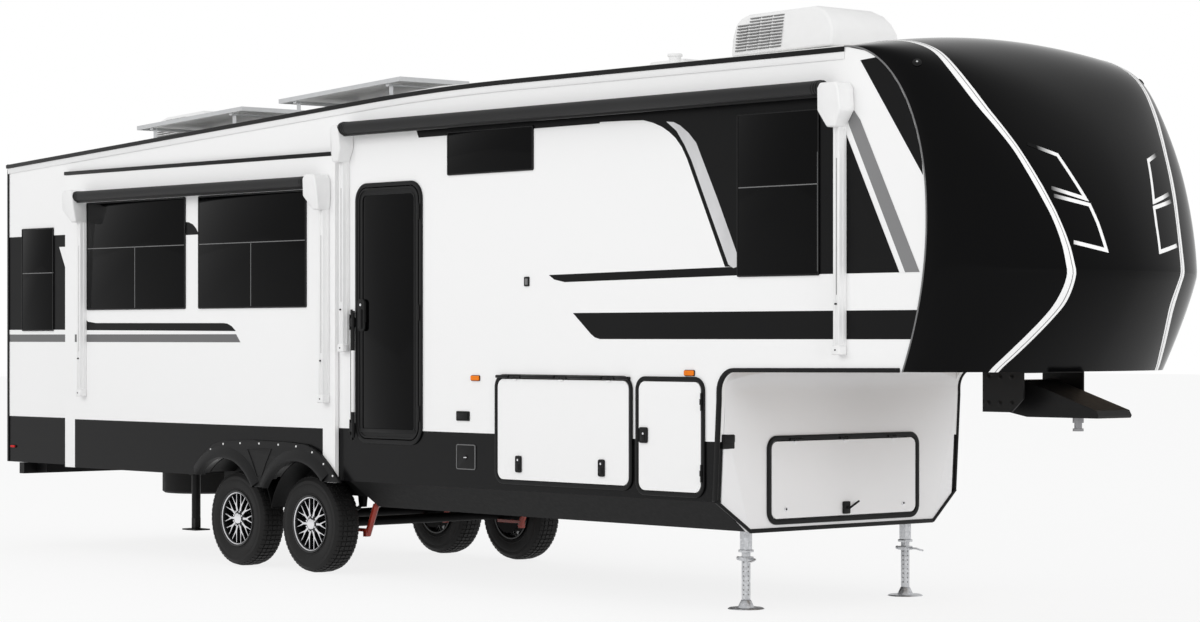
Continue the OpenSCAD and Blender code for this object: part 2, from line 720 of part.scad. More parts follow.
// Solar panels on four feet each: [x of the middle, y of the middle, length, width]
solar_table = [[-1005, -855, 1590, 690], [-3092, -855, 1555, 690]];
solar_rise = 100;                 // underside of a panel above the roof's edge
module solar_panels() {
    t = 35;
    foot = [50, 30];
    color("midnightblue") for (p = solar_table)
        translate([p[0], 0, roof_edge(p[0]) + solar_rise]) rotate([0, -roof_slope, 0]) {
            translate([-p[2] / 2, p[1] - p[3] / 2, 0]) cube([p[2], p[3], t]);
            for (sx = [-1, 1], sy = [-1, 1]) {
                y = p[1] + sy * (p[3] / 2 - 60);
                high = roof_crown * (1 - pow((abs(y) - foot[1] / 2) / half_w, 2));
                reach = (solar_rise - high) * cos(roof_slope) - seat;
                translate([sx * (p[2] / 2 - 190) - foot[0] / 2, y - foot[1] / 2, -reach])
                    cube([foot[0], foot[1], reach]);
            }
        }
}

// Pin box: side plates under the overhang, a sloping beam and its wear plate
module pin_box() {
    color("black") {
        both_sides() translate([0, -300, 0]) rotate([90, 0, 0]) linear_extrude(12)
            polygon([[4900, deck_z], [5250, deck_z], [5250, 1480], [5150, 1390], [4900, 1390]]);
        box_at([4900, -300, deck_z - 12], [5250, 300, deck_z]);
        box_at([4920, -300, 1420], [4932, 300, 1600]);
        translate([0, 170, 0]) rotate([90, 0, 0]) linear_extrude(340)
            polygon([[4932, 1400], [4932, 1600], [5140, 1600], [5740, 1409], [5760, 1375],
                [5750, pin_plate_z], [5160, pin_plate_z]]);
        both_sides() box_at([4940, -300, 1440], [5080, -168, 1470]);
    }
}

// Kingpin: shank, neck and lower flange
module kingpin() {
    shank_r = 36.5;
    neck_r = 25.4;
    color("silver") translate([pin_x, 0, pin_plate_z - 91]) {
        cylinder(r = pin_flange_r, h = 18, $fn = 96);
        translate([0, 0, 18]) cylinder(r = neck_r, h = 37, $fn = 96);
        translate([0, 0, 55]) cylinder(r = shank_r, h = 36, $fn = 96);
    }
}

// Hinges: [where along the axis, length]; the fixed half holds the pin
module hinge_fixed(len) {
    translate([0, 0, -len / 2]) {
        cylinder(r = hinge_pin_r, h = len, $fn = 48);
        cylinder(r = knuckle_r, h = len / 3 - seat, $fn = 48);
        translate([0, 0, 2 * len / 3 + seat]) cylinder(r = knuckle_r, h = len / 3 - seat, $fn = 48);
    }
}

module hinge_moving(len) {
    translate([0, 0, -len / 6]) difference() {
        cylinder(r = knuckle_r, h = len / 3, $fn = 48);
        translate([0, 0, -1]) cylinder(r = hinge_pin_r + seat, h = len / 3 + 2, $fn = 48);
    }
}

hinge_y = -half_w - hinge_out;
leaf_out = 12;                    // leaves stand this far off the wall face
hinge_len = 120;

// A leaf that hinges on a vertical axis at x, with two or more hinges at heights hs
module upright_hinges(x, hs, fixed) {
    for (z = hs) translate([x, hinge_y, z]) {
        if (fixed) {
            hinge_fixed(hinge_len);
            for (s = [-1, 1]) box_at([0, 0, s * hinge_len / 3 - hinge_len / 6 + 2],
                [knuckle_r, hinge_out, s * hinge_len / 3 + hinge_len / 6 - 2]);
        } else {
            hinge_moving(hinge_len);
            difference() {
                box_at([-knuckle_r - 14, -5, -hinge_len / 6], [0, hinge_out - leaf_out, hinge_len / 6]);
                cylinder(r = knuckle_r - 1, h = hinge_len, center = true, $fn = 48);
            }
        }
    }
}

// A leaf that hinges on an axis along X at height z
module level_hinges(z, xs, fixed) {
    for (x = xs) translate([x, hinge_y, z]) rotate([0, 90, 0]) {
        if (fixed) {
            hinge_fixed(hinge_len);
            for (s = [-1, 1]) box_at([-knuckle_r, 0, s * hinge_len / 3 - hinge_len / 6 + 2],
                [0, hinge_out, s * hinge_len / 3 + hinge_len / 6 - 2]);
        } else {
            hinge_moving(hinge_len);
            difference() {
                box_at([0, -5, -hinge_len / 6], [knuckle_r + 14, hinge_out - leaf_out, hinge_len / 6]);
                cylinder(r = knuckle_r - 1, h = hinge_len, center = true, $fn = 48);
            }
        }
    }
}

door_hinge_x = door_box[2] - 12;
door_leaf = [door_box[0] + 20, door_box[1] + 20, door_hinge_x - 14, door_box[3] - 20, 100];
door_hinge_zs = [1300, 2070, 2840];
large_hinge_z = bay_door_large[3] - 6;
large_leaf = [bay_door_large[0] + 12, bay_door_large[1] + 12, bay_door_large[2] - 12,
    large_hinge_z - 14, 60];
large_hinge_xs = [1200, 1713, 2226];
small_hinge_x = bay_door_small[2] - 6;
small_leaf = [bay_door_small[0] + 12, bay_door_small[1] + 12, small_hinge_x - 14,
    bay_door_small[3] - 12, 60];
small_hinge_zs = [950, 1440];

// Fixed frames round the curb side doors, with the fixed hinge halves
module door_frame() {
    color("black") {
        side_sheet(6, 6) difference() {
            round_rect(door_box);
            round_rect(door_leaf, move_gap);
        }
        side_sheet(6, 6) difference() {
            round_rect(bay_door_large);
            round_rect(large_leaf, move_gap);
        }
        side_sheet(6, 6) difference() {
            round_rect(bay_door_small);
            round_rect(small_leaf, move_gap);
        }
        upright_hinges(door_hinge_x, door_hinge_zs, true);
        upright_hinges(small_hinge_x, small_hinge_zs, true);
        level_hinges(large_hinge_z, large_hinge_xs, true);
        mirror([0, 1, 0]) {
            side_sheet(6, 6) difference() {
                round_rect(bay_door_large);
                round_rect(large_leaf, move_gap);
            }
            level_hinges(large_hinge_z, large_hinge_xs, true);
        }
        cross_sheet(front_x + 6, 6) difference() {
            round_rect(gen_door);
            round_rect(gen_leaf, move_gap);
        }
        translate([front_x, 0, 0]) gen_hinges(true);
        side_sheet(8, 8) translate([-805, 1080]) square([20, 1020]);
        for (z = [1180, 2000]) translate([grab_x, hinge_y, z]) {
            hinge_fixed(hinge_len);
            for (s = [-1, 1]) box_at([-knuckle_r + 2, 0, s * hinge_len / 3 - hinge_len / 6 + 2],
                [knuckle_r - 2, hinge_out - 8, s * hinge_len / 3 + hinge_len / 6 - 2]);
        }
    }
}

module entry_door() {
    color("black") {
        difference() {
            side_sheet(leaf_out, 38) round_rect(door_leaf);
            side_sheet(leaf_out + 1, 6) round_rect(door_leaf, -52);
        }
        upright_hinges(door_hinge_x, door_hinge_zs, false);
        box_at([door_leaf[0] + 20, -half_w - leaf_out - 14, 2000],
            [door_leaf[0] + 110, -half_w - leaf_out, 2160]);
    }
}

module baggage_leaf_large() {
    side_sheet(leaf_out, 34) round_rect(large_leaf);
    level_hinges(large_hinge_z, large_hinge_xs, false);
    for (x = [1240, 2150]) box_at([x - 28, -half_w - leaf_out - 12, 900],
        [x + 28, -half_w - leaf_out, 1010]);
}

module baggage_door_large() {
    color("whitesmoke") baggage_leaf_large();
}

module baggage_door_road() {
    color("whitesmoke") mirror([0, 1, 0]) baggage_leaf_large();
}

module baggage_door_small() {
    color("whitesmoke") {
        side_sheet(leaf_out, 34) round_rect(small_leaf);
        upright_hinges(small_hinge_x, small_hinge_zs, false);
        box_at([2560, -half_w - leaf_out - 12, 1150], [2620, -half_w - leaf_out, 1250]);
    }
}

// Generator door on the front wall, hinged along its top edge
gen_hinge_z = gen_door[3] - 6;
gen_leaf = [gen_door[0] + 12, gen_door[1] + 12, gen_door[2] - 12, gen_hinge_z - 14, 50];
gen_hinge_ys = [-500, 0, 500];
module gen_hinges(fixed) {
    for (y = gen_hinge_ys) translate([hinge_out, y, gen_hinge_z]) rotate([90, 0, 0]) {
        if (fixed) {
            hinge_fixed(hinge_len);
            for (s = [-1, 1]) box_at([-hinge_out, 0, s * hinge_len / 3 - hinge_len / 6 + 2],
                [0, knuckle_r, s * hinge_len / 3 + hinge_len / 6 - 2]);
        } else {
            hinge_moving(hinge_len);
            difference() {
                box_at([leaf_out - hinge_out, -knuckle_r - 14, -hinge_len / 6], [5, 0, hinge_len / 6]);
                cylinder(r = knuckle_r - 1, h = hinge_len, center = true, $fn = 48);
            }
        }
    }
}

module generator_door() {
    color("lightgray") translate([0, 0, 0]) {
        cross_sheet(front_x + leaf_out, 34) round_rect(gen_leaf);
        translate([front_x, 0, 0]) gen_hinges(false);
        box_at([front_x + leaf_out, -30, 640], [front_x + leaf_out + 14, 30, 720]);
    }
}

// Fold-away grab handle beside the entry door
grab_x = -790;
module grab_handle() {
    y = hinge_y;
    color("black") {
        for (z = [1180, 2000]) translate([grab_x, y, z]) {
            hinge_moving(hinge_len);
            difference() {
                box_at([0, -8, -hinge_len / 6], [60, 4, hinge_len / 6]);
                cylinder(r = knuckle_r - 1, h = hinge_len, center = true, $fn = 48);
            }
        }
        translate([grab_x + 50, y - 8, 1100]) cylinder(r = 14, h = 990, $fn = 48);
    }
}

// Small hatches and fittings on the curb wall
module hatches() {
    color("black") {
        side_sheet(8, 8) round_rect([506, 894, 729, 1082, 18]);
        side_sheet(10, 10) round_rect([506, 1258, 659, 1330, 8]);
        side_sheet(8, 8) round_rect([1290, 2255, 1345, 2325, 8]);
        both_sides() side_sheet(8, 8) round_rect([-5560, 1250, -5260, 1600, 20]);
    }
}

// Edge mouldings: roof edges and the corners of the lower front wall
module edge_trim() {
    color("black") {
        both_sides() side_sheet(8, 8) difference() {
            intersection() {
                wall_outline();
                translate([-rear_x, 0]) square([rear_x + cap_top_x - 1, big]);
            }
            translate([0, -45]) wall_outline();
            translate([-rear_x - 1, 0]) square([rear_x * 2, roof_rear_z - 60]);
        }
        cross_sheet(front_x + 8, 8) polygon([[-pan_y, pan_z], [pan_y, pan_z],
            [pan_y - 12, pan_z + 28], [-pan_y + 12, pan_z + 28]]);
    }
}

// Lamps: [x, z] on both side walls
module marker_lamps() {
    color("orange") both_sides() {
        for (p = [[729, 1579], [3043, 1637]]) side_sheet(18, 18)
            round_rect([p[0] - 45, p[1] - 16, p[0] + 45, p[1] + 16, 10]);
    }
}

module tail_lamps() {
    color("red") both_sides() {
        cross_sheet(-rear_x, 25) round_rect([-1120, 1150, -1010, 1400, 30]);
        side_sheet(18, 18) round_rect([-5900, 880, -5810, 912, 10]);
    }
}

// Wheels: a tyre of round shoulders with grooves, and a spoked rim with its hub and drum
module tyre_section() {
    w = tyre_w / 2;
    difference() {
        union() {
            translate([rim_r + seat, -w + 23]) square([tyre_r - rim_r - 46 - seat, 2 * w - 46]);
            translate([rim_r + 40, -w]) square([tyre_r - rim_r - 100, 2 * w]);
            translate([tyre_r - 60, -w + 12]) square([60, 2 * w - 24]);
        }
        for (y = [-60, -20, 20, 60]) translate([tyre_r - 9, y - 4]) square([20, 8]);
    }
}

module tyre_solid() {
    color("black") rotate([90, 0, 0]) rotate_extrude($fn = 128) tyre_section();
}

// Outer face of the wheel towards -Y
module rim_solid() {
    w = 95;
    spokes = 10;
    bore_r = spindle_r + seat;
    color("silver") rotate([90, 0, 0]) {
        rotate_extrude($fn = 128) {
            translate([rim_r - 10, -w]) square([10, 2 * w]);
            for (s = [-1, 1]) translate([rim_r - 10, s * (w + 5) - 5]) square([24, 10]);
            translate([0, 41]) square([74, 45]);
            translate([bore_r, -139]) square([74 - bore_r, 182]);
            translate([74 - 5, -139]) square([78, 12]);
            translate([140, -139]) square([12, 80]);
            translate([0, 86]) square([34, 14]);
        }
        for (k = [0:spokes - 1]) rotate([0, 0, k * 360 / spokes]) translate([0, 0, 52])
            linear_extrude(30) for (s = [-1, 1])
                polygon([[60, 6 * s - 8], [60, 6 * s + 8], [rim_r - 8, 22 * s + 8],
                    [rim_r - 8, 22 * s - 8]]);
    }
}

module wheel_at(axle, side) {
    translate([axle_xs[axle], side * wheel_y, tyre_r]) mirror([0, side > 0 ? 1 : 0, 0]) children();
}

module tyre_front_curb() { wheel_at(0, -1) tyre_solid(); }
module tyre_rear_curb() { wheel_at(1, -1) tyre_solid(); }
module tyre_front_road() { wheel_at(0, 1) tyre_solid(); }
module tyre_rear_road() { wheel_at(1, 1) tyre_solid(); }
module rim_front_curb() { wheel_at(0, -1) rim_solid(); }
module rim_rear_curb() { wheel_at(1, -1) rim_solid(); }
module rim_front_road() { wheel_at(0, 1) rim_solid(); }
module rim_rear_road() { wheel_at(1, 1) rim_solid(); }

chassis_rails();
belly_pan();
main_floor();
bay_floor();
bulkhead();
bedroom_deck();
wall_curb();
wall_road();
wall_rear();
roof_panel();
front_wall();
nose_cap();
edge_trim();
windows_curb();
windows_road();
window_rear();
marker_lamps();
tail_lamps();
awning_roller();
awning_arms();
roof_units();
solar_panels();
pin_box();
kingpin();
landing_legs();
rear_jacks();
axles();
leaf_springs();
shocks();
bumper();
spare_wheel();
hatches();
door_frame();
slide_box_curb();
slide_windows_curb();
slide_fender_curb();
slide_awning();
slide_box_road();
slide_windows_road();
slide_fender_road();
entry_door();
grab_handle();
baggage_door_large();
baggage_door_small();
generator_door();
baggage_door_road();
tyre_front_curb();
tyre_rear_curb();
tyre_front_road();
tyre_rear_road();
rim_front_curb();
rim_rear_curb();
rim_front_road();
rim_rear_road();
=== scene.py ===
import math

import bpy
from mathutils import Matrix, Vector


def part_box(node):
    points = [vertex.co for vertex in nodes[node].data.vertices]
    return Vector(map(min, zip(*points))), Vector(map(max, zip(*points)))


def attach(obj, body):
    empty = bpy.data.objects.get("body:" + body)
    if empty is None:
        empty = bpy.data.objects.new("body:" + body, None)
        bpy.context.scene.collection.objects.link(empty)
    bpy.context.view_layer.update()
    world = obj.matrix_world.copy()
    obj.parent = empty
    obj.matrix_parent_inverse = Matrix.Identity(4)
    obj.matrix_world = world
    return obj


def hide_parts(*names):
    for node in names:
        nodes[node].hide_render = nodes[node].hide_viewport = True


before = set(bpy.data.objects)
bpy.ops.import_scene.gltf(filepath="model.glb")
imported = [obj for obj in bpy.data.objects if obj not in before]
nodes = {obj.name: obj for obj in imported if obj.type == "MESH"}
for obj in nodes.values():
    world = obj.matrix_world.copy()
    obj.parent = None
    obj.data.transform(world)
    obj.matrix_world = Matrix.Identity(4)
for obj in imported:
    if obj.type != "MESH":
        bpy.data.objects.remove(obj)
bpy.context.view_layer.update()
print("frame loaded")


# places that several pieces share, taken from the frame
def boxOf(node):
    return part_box(node)


wallFace = -boxOf("wall_curb")[0].y
slideFace = -boxOf("slide_box_curb")[0].y
frontFace = 3.340
rearFace = -boxOf("wall_curb")[0].x
sides = {
    "curb": Matrix(((1, 0, 0, 0), (0, 0, -1, 0), (0, 1, 0, 0), (0, 0, 0, 1))),
    "front": Matrix(((0, 0, 1, 0), (1, 0, 0, 0), (0, 1, 0, 0), (0, 0, 0, 1))),
    "rear": Matrix(((0, 0, -1, 0), (-1, 0, 0, 0), (0, 1, 0, 0), (0, 0, 0, 1))),
    "top": Matrix.Identity(4),
}


def clearSelection():
    if bpy.context.mode != "OBJECT":
        bpy.ops.object.mode_set(mode="OBJECT")
    bpy.ops.object.select_all(action="DESELECT")


def pick(obj):
    clearSelection()
    obj.select_set(True)
    bpy.context.view_layer.objects.active = obj
    return obj


def bake(obj):
    pick(obj)
    bpy.ops.object.transform_apply(location=True, rotation=True, scale=True)
    return obj


def modify(obj, kind, **settings):
    pick(obj)
    modifier = obj.modifiers.new(kind.title(), kind)
    for key, value in settings.items():
        setattr(modifier, key, value)
    bpy.ops.object.modifier_apply(modifier=modifier.name)
    return obj


def soften(obj, width, segments=2):
    if width:
        modify(obj, "BEVEL", width=width, segments=segments, limit_method="ANGLE", angle_limit=0.6)
    return obj


def outward(obj):
    pick(obj)
    bpy.ops.object.mode_set(mode="EDIT")
    bpy.ops.mesh.select_all(action="SELECT")
    bpy.ops.mesh.remove_doubles(threshold=0.00001)
    bpy.ops.mesh.normals_make_consistent(inside=False)
    bpy.ops.object.mode_set(mode="OBJECT")
    return obj


def block(low, high, bevel=0.0, segments=2):
    clearSelection()
    low, high = Vector(low), Vector(high)
    bpy.ops.mesh.primitive_cube_add(size=1, location=(low + high) / 2)
    obj = bpy.context.object
    obj.scale = high - low
    return soften(bake(obj), bevel, segments)


def rod(start, end, radius, sides_=24, bevel=0.0, tip=None):
    clearSelection()
    start, end = Vector(start), Vector(end)
    way = end - start
    bpy.ops.mesh.primitive_cone_add(vertices=sides_, radius1=radius, radius2=radius if tip is None else tip,
                                    depth=way.length, location=(start + end) / 2,
                                    rotation=way.to_track_quat("Z", "Y").to_euler())
    return soften(bake(bpy.context.object), bevel)


def flat(points, base=0.0):
    clearSelection()
    bpy.ops.mesh.primitive_circle_add(vertices=len(points), radius=1, fill_type="NGON")
    obj = bpy.context.object
    for vertex, point in zip(obj.data.vertices, points):
        vertex.co = (point[0], point[1], base)
    return obj


def raiseUp(obj, depth):
    pick(obj)
    bpy.ops.object.mode_set(mode="EDIT")
    bpy.ops.mesh.select_all(action="SELECT")
    bpy.ops.mesh.extrude_region_move(TRANSFORM_OT_translate={"value": (0, 0, depth)})
    bpy.ops.mesh.select_all(action="SELECT")
    bpy.ops.mesh.normals_make_consistent(inside=False)
    bpy.ops.object.mode_set(mode="OBJECT")
    return obj


def plate(points, depth, base=0.0, bevel=0.0, segments=2):
    return soften(raiseUp(flat(points, base), depth), bevel, segments)


def ring(points, width, depth, base=0.0, bevel=0.0, segments=2):
    obj = pick(flat(points, base))
    bpy.ops.object.mode_set(mode="EDIT")
    bpy.ops.mesh.select_all(action="SELECT")
    bpy.ops.mesh.inset(thickness=width)
    bpy.ops.mesh.delete(type="FACE")
    bpy.ops.object.mode_set(mode="OBJECT")
    return soften(raiseUp(obj, depth), bevel, segments)


def roundBox(box, radius, grow=0.0, steps=8):
    x0, y0, x1, y1 = box[0] - grow, box[1] - grow, box[2] + grow, box[3] + grow
    radius = max(0.001, radius + grow)
    points = []
    for cx, cy, start in ((x1 - radius, y0 + radius, -90), (x1 - radius, y1 - radius, 0),
                          (x0 + radius, y1 - radius, 90), (x0 + radius, y0 + radius, 180)):
        for k in range(steps + 1):
            a = math.radians(start + 90 * k / steps)
            points.append((cx + radius * math.cos(a), cy + radius * math.sin(a)))
    return points


def arc(cx, cy, radius, start, end, steps):
    return [(cx + radius * math.cos(math.radians(start + (end - start) * k / steps)),
             cy + radius * math.sin(math.radians(start + (end - start) * k / steps))) for k in range(steps + 1)]


def ribbon(points, width):
    # outline of a band of this width along a line of points
    left, right = [], []
    for k, point in enumerate(points):
        here = Vector(point)
        before = (here - Vector(points[k - 1])).normalized() if k else None
        after = (Vector(points[k + 1]) - here).normalized() if k + 1 < len(points) else None
        way = (before or after) + (after or before)
        way.normalize()
        stretch = 1 / max(0.5, way.dot(after or before))
        across = Vector((-way.y, way.x)) * width / 2 * stretch
        left.append(tuple(here + across))
        right.append(tuple(here - across))
    return right + left[::-1]


def sweep(points, radius, closed=False, resolution=3, name="sweep"):
    curve = bpy.data.curves.new(name, "CURVE")
    curve.dimensions = "3D"
    curve.bevel_depth = radius
    curve.bevel_resolution = resolution
    curve.use_fill_caps = not closed
    spline = curve.splines.new("POLY")
    spline.points.add(len(points) - 1)
    for target, point in zip(spline.points, points):
        target.co = (*point, 1)
    spline.use_cyclic_u = closed
    obj = bpy.data.objects.new(name, curve)
    bpy.context.scene.collection.objects.link(obj)
    pick(obj)
    bpy.ops.object.convert(target="MESH")
    return outward(bpy.context.object)


def gridSheet(rows, columns, pointAt, flip=False):
    clearSelection()
    bpy.ops.mesh.primitive_grid_add(x_subdivisions=columns, y_subdivisions=rows, size=1)
    obj = bpy.context.object
    places = [value for i in range(rows + 1) for j in range(columns + 1) for value in pointAt(i, j)]
    obj.data.vertices.foreach_set("co", places)
    if flip:
        obj.data.flip_normals()
    obj.data.update()
    return obj


def lathe(profile, steps=96, axis="Y"):
    # a closed profile of (radius, height) turned once round the axis
    obj = flat([(r, h) for r, h in profile])
    obj.data.transform(Matrix.Rotation(math.radians(90), 4, "X"))
    pick(obj)
    bpy.ops.object.mode_set(mode="EDIT")
    bpy.ops.mesh.select_all(action="SELECT")
    bpy.ops.mesh.delete(type="ONLY_FACE")
    bpy.ops.object.mode_set(mode="OBJECT")
    modify(obj, "SCREW", axis="Z", steps=steps, render_steps=steps, use_merge_vertices=True,
           merge_threshold=0.0001, use_normal_calculate=True)
    if axis == "Y":
        obj.data.transform(Matrix.Rotation(math.radians(-90), 4, "X"))
    return outward(obj)


def onSide(obj, side, face=0.0):
    obj.data.transform(sides[side] @ Matrix.Translation((0, 0, face)))
    obj.data.update()
    return obj


def move(obj, offset):
    obj.data.transform(Matrix.Translation(offset))
    return obj


def turn(obj, degrees, axis, centre=(0, 0, 0)):
    centre = Matrix.Translation(centre)
    obj.data.transform(centre @ Matrix.Rotation(math.radians(degrees), 4, axis) @ centre.inverted())
    return obj


def dress(obj, paint):
    obj.data.materials.clear()
    obj.data.materials.append(paint)
    return obj


def twin(obj, matrix=None):
    other = obj.copy()
    other.data = obj.data.copy()
    bpy.context.scene.collection.objects.link(other)
    if matrix is not None:
        other.data.transform(matrix)
        if matrix.determinant() < 0:
            other.data.flip_normals()
    return other


mirrorY = Matrix.Scale(-1, 4, (0, 1, 0))


def join(parts):
    parts = [p for p in parts if p]
    clearSelection()
    for part in parts:
        part.select_set(True)
    bpy.context.view_layer.objects.active = parts[0]
    if len(parts) > 1:
        bpy.ops.object.join()
    return bpy.context.object


def both(parts):
    whole = join(parts)
    return join([whole, twin(whole, mirrorY)])


def finish(obj, name, body, paint=None, replaces=(), smooth=35):
    pick(obj)
    obj.name = name
    obj.data.name = name
    if paint:
        dress(obj, paint)
    if smooth:
        bpy.ops.object.shade_smooth_by_angle(angle=math.radians(smooth))
    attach(obj, body)
    if replaces:
        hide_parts(*replaces)
    return obj


class Wire:  # a shader socket that can be calculated with
    def __init__(self, paint, socket):
        self.paint, self.socket = paint, socket

    def math(self, operation, first, second=None, third=None):
        return self.paint.add("ShaderNodeMath", {"operation": operation}, {0: first, 1: second, 2: third})

    def __add__(self, other):
        return self.math("ADD", self, other)

    __radd__ = __add__

    def __sub__(self, other):
        return self.math("SUBTRACT", self, other)

    def __rsub__(self, other):
        return self.math("SUBTRACT", other, self)

    def __mul__(self, other):
        return self.math("MULTIPLY", self, other)

    __rmul__ = __mul__

    def __truediv__(self, other):
        return self.math("DIVIDE", self, other)

    def __gt__(self, other):
        return self.math("GREATER_THAN", self, other)

    def __lt__(self, other):
        return self.math("LESS_THAN", self, other)

    def fraction(self):
        return self.math("FRACT", self)

    def clamp(self):
        return self.paint.add("ShaderNodeClamp", {}, {0: self})


class Paint:  # one material, with its Principled shader
    def __init__(self, name, colour, roughness=0.5, metallic=0.0, **sockets):
        self.material = bpy.data.materials.new(name)
        self.material.use_nodes = True
        self.tree = self.material.node_tree
        self.shader = self.tree.nodes["Principled BSDF"]
        self.coordinates = None
        self.set("Base Color", colour)
        self.set("Roughness", roughness)
        self.set("Metallic", metallic)
        for key, value in sockets.items():
            self.set(key.replace("_", " "), value)

    def set(self, socket, value):
        self.feed(self.shader.inputs[socket], value)

    def feed(self, socket, value):
        if isinstance(value, Wire):
            self.tree.links.new(value.socket, socket)
        elif value is not None:
            if socket.type == "RGBA" and len(value) == 3:
                value = (*value, 1)
            socket.default_value = value

    def add(self, kind, settings, values, out=0):
        made = self.tree.nodes.new(kind)
        for key, value in settings.items():
            if key == "stops":
                ramp = made.color_ramp
                while len(ramp.elements) < len(value):
                    ramp.elements.new(0.5)
                for element, (place, shade) in zip(ramp.elements, value):
                    element.position = place
                    element.color = (shade, shade, shade, 1)
            else:
                setattr(made, key, value)
        for key, value in values.items():
            self.feed(made.inputs[key], value)
        return Wire(self, made.outputs[out])

    def place(self):
        if self.coordinates is None:
            self.coordinates = self.add("ShaderNodeTexCoord", {}, {}, "Object")
        return self.coordinates

    def axis(self, index):
        return self.add("ShaderNodeSeparateXYZ", {}, {0: self.place()}, index)

    def stretched(self, scale):
        return self.add("ShaderNodeMapping", {}, {"Vector": self.place(), "Scale": scale})

    def noise(self, scale, detail=2.0, roughness=0.5, stretch=(1, 1, 1)):
        return self.add("ShaderNodeTexNoise", {}, {"Vector": self.stretched(stretch), "Scale": scale,
                                                   "Detail": detail, "Roughness": roughness})

    def cells(self, scale, feature="F1"):
        return self.add("ShaderNodeTexVoronoi", {"feature": feature}, {"Vector": self.place(), "Scale": scale})

    def ramp(self, value, stops):
        return self.add("ShaderNodeValToRGB", {"stops": stops}, {0: value})

    def blend(self, mask, first, second):
        return self.add("ShaderNodeMix", {"data_type": "RGBA"}, {0: mask, 6: first, 7: second}, 2)

    def bump(self, height, distance, strength=1.0):
        self.set("Normal", self.add("ShaderNodeBump", {}, {"Height": height, "Distance": distance,
                                                           "Strength": strength}))


def skinPaint(name, colour, roughness=0.24):
    paint = Paint(name, colour, roughness, Specular_IOR_Level=0.14)
    cloud = paint.noise(2.2, 3)
    paint.set("Roughness", roughness - 0.05 + cloud * 0.1)
    paint.bump(paint.noise(3.0, 1, 0.4, (1, 1, 1.6)), 0.0015, 0.25)
    return paint


def beltPaint(name, white, dark, beltZ, x0=None, x1=None):
    # white above the belt line and black below it, between x0 and x1
    paint = skinPaint(name, white)
    mask = paint.axis(2) < beltZ
    if x0 is not None:
        mask = mask * (paint.axis(0) > x0) * (paint.axis(0) < x1)
    shade = paint.blend(paint.noise(7, 4), tuple(0.93 * c for c in dark), tuple(1.1 * c for c in dark))
    paint.set("Base Color", paint.blend(mask, white, shade))
    return paint.material


def hingedPaint(name, colour, index, limit):
    # a door skin whose hinge knuckles, beyond this limit, are black
    paint = skinPaint(name, colour)
    paint.set("Base Color", paint.blend(paint.axis(index) > limit, colour, belt))
    return paint.material


def plainPaint(name, colour, roughness, grain=60.0, depth=0.0003, variation=0.12, metallic=0.0, **sockets):
    paint = Paint(name, colour, roughness, metallic, **sockets)
    cloud = paint.noise(grain / 8, 3)
    paint.set("Base Color", paint.blend(cloud, tuple(c * (1 - variation) for c in colour),
                                        tuple(min(1, c * (1 + variation)) for c in colour)))
    paint.set("Roughness", (roughness - 0.06) + paint.noise(grain / 3, 2) * 0.12)
    if depth:
        paint.bump(paint.noise(grain, 3), depth, 0.5)
    return paint.material


def spanglePaint(name):
    paint = Paint(name, (0.62, 0.63, 0.65), 0.4, 0.85)
    flake = paint.add("ShaderNodeTexVoronoi", {}, {"Vector": paint.place(), "Scale": 55.0}, 1)
    tone = paint.add("ShaderNodeSeparateColor", {}, {0: flake})
    paint.set("Base Color", paint.blend(tone, (0.5, 0.51, 0.53), (0.74, 0.75, 0.77)))
    paint.set("Roughness", 0.32 + tone * 0.2)
    return paint.material


def solarPaint():
    paint = Paint("solarCells", (0.012, 0.016, 0.035), 0.12)
    acrossX, acrossY = (paint.axis(0) / 0.158).fraction(), (paint.axis(1) / 0.164).fraction()
    gaps = (acrossX < 0.03) + (acrossY < 0.03)
    wires = ((paint.axis(1) / 0.0082).fraction() < 0.1) * 0.35
    lines = (gaps + wires).clamp()
    paint.set("Base Color", paint.blend(lines, (0.012, 0.016, 0.035), (0.3, 0.31, 0.33)))
    return paint.material


def fabricPaint():
    paint = Paint("awningFabric", (0.02, 0.02, 0.021), 0.5, Specular_IOR_Level=0.3)
    weave = paint.noise(900, 2)
    fade = paint.noise(3, 2, 0.5, (0.3, 4, 4))
    paint.set("Base Color", paint.blend(fade, (0.007, 0.007, 0.0075), (0.018, 0.018, 0.0185)))
    paint.bump(weave, 0.0004, 0.5)
    return paint.material


def rubberPaint():
    paint = Paint("tyreRubber", (0.016, 0.016, 0.017), 0.62, Specular_IOR_Level=0.25)
    dust = paint.noise(14, 4)
    paint.set("Base Color", paint.blend(dust, (0.0065, 0.0065, 0.007), (0.018, 0.0175, 0.017)))
    paint.set("Roughness", 0.5 + dust * 0.25)
    paint.bump(paint.noise(300, 2), 0.0003, 0.6)
    return paint.material


def boardPaint():
    paint = Paint("floorBoard", (0.35, 0.27, 0.2), 0.6)
    grain = paint.noise(6, 6, 0.6, (0.6, 9, 9))
    paint.set("Base Color", paint.blend(grain, (0.24, 0.18, 0.13), (0.46, 0.36, 0.26)))
    return paint.material


def membranePaint():
    paint = Paint("roofMembrane", (0.8, 0.8, 0.79), 0.7)
    patch = paint.noise(1.5, 5)
    paint.set("Base Color", paint.blend(patch, (0.74, 0.74, 0.73), (0.86, 0.86, 0.85)))
    paint.bump(paint.noise(40, 3), 0.0008, 0.4)
    return paint.material


def silverPaint():
    paint = Paint("silverVinyl", (0.66, 0.66, 0.67), 0.35, 0.3)
    brushed = paint.noise(4, 5, 0.6, (1.5, 1, 0.5))
    paint.set("Base Color", paint.blend(brushed, (0.5, 0.5, 0.51), (0.8, 0.8, 0.81)))
    return paint.material


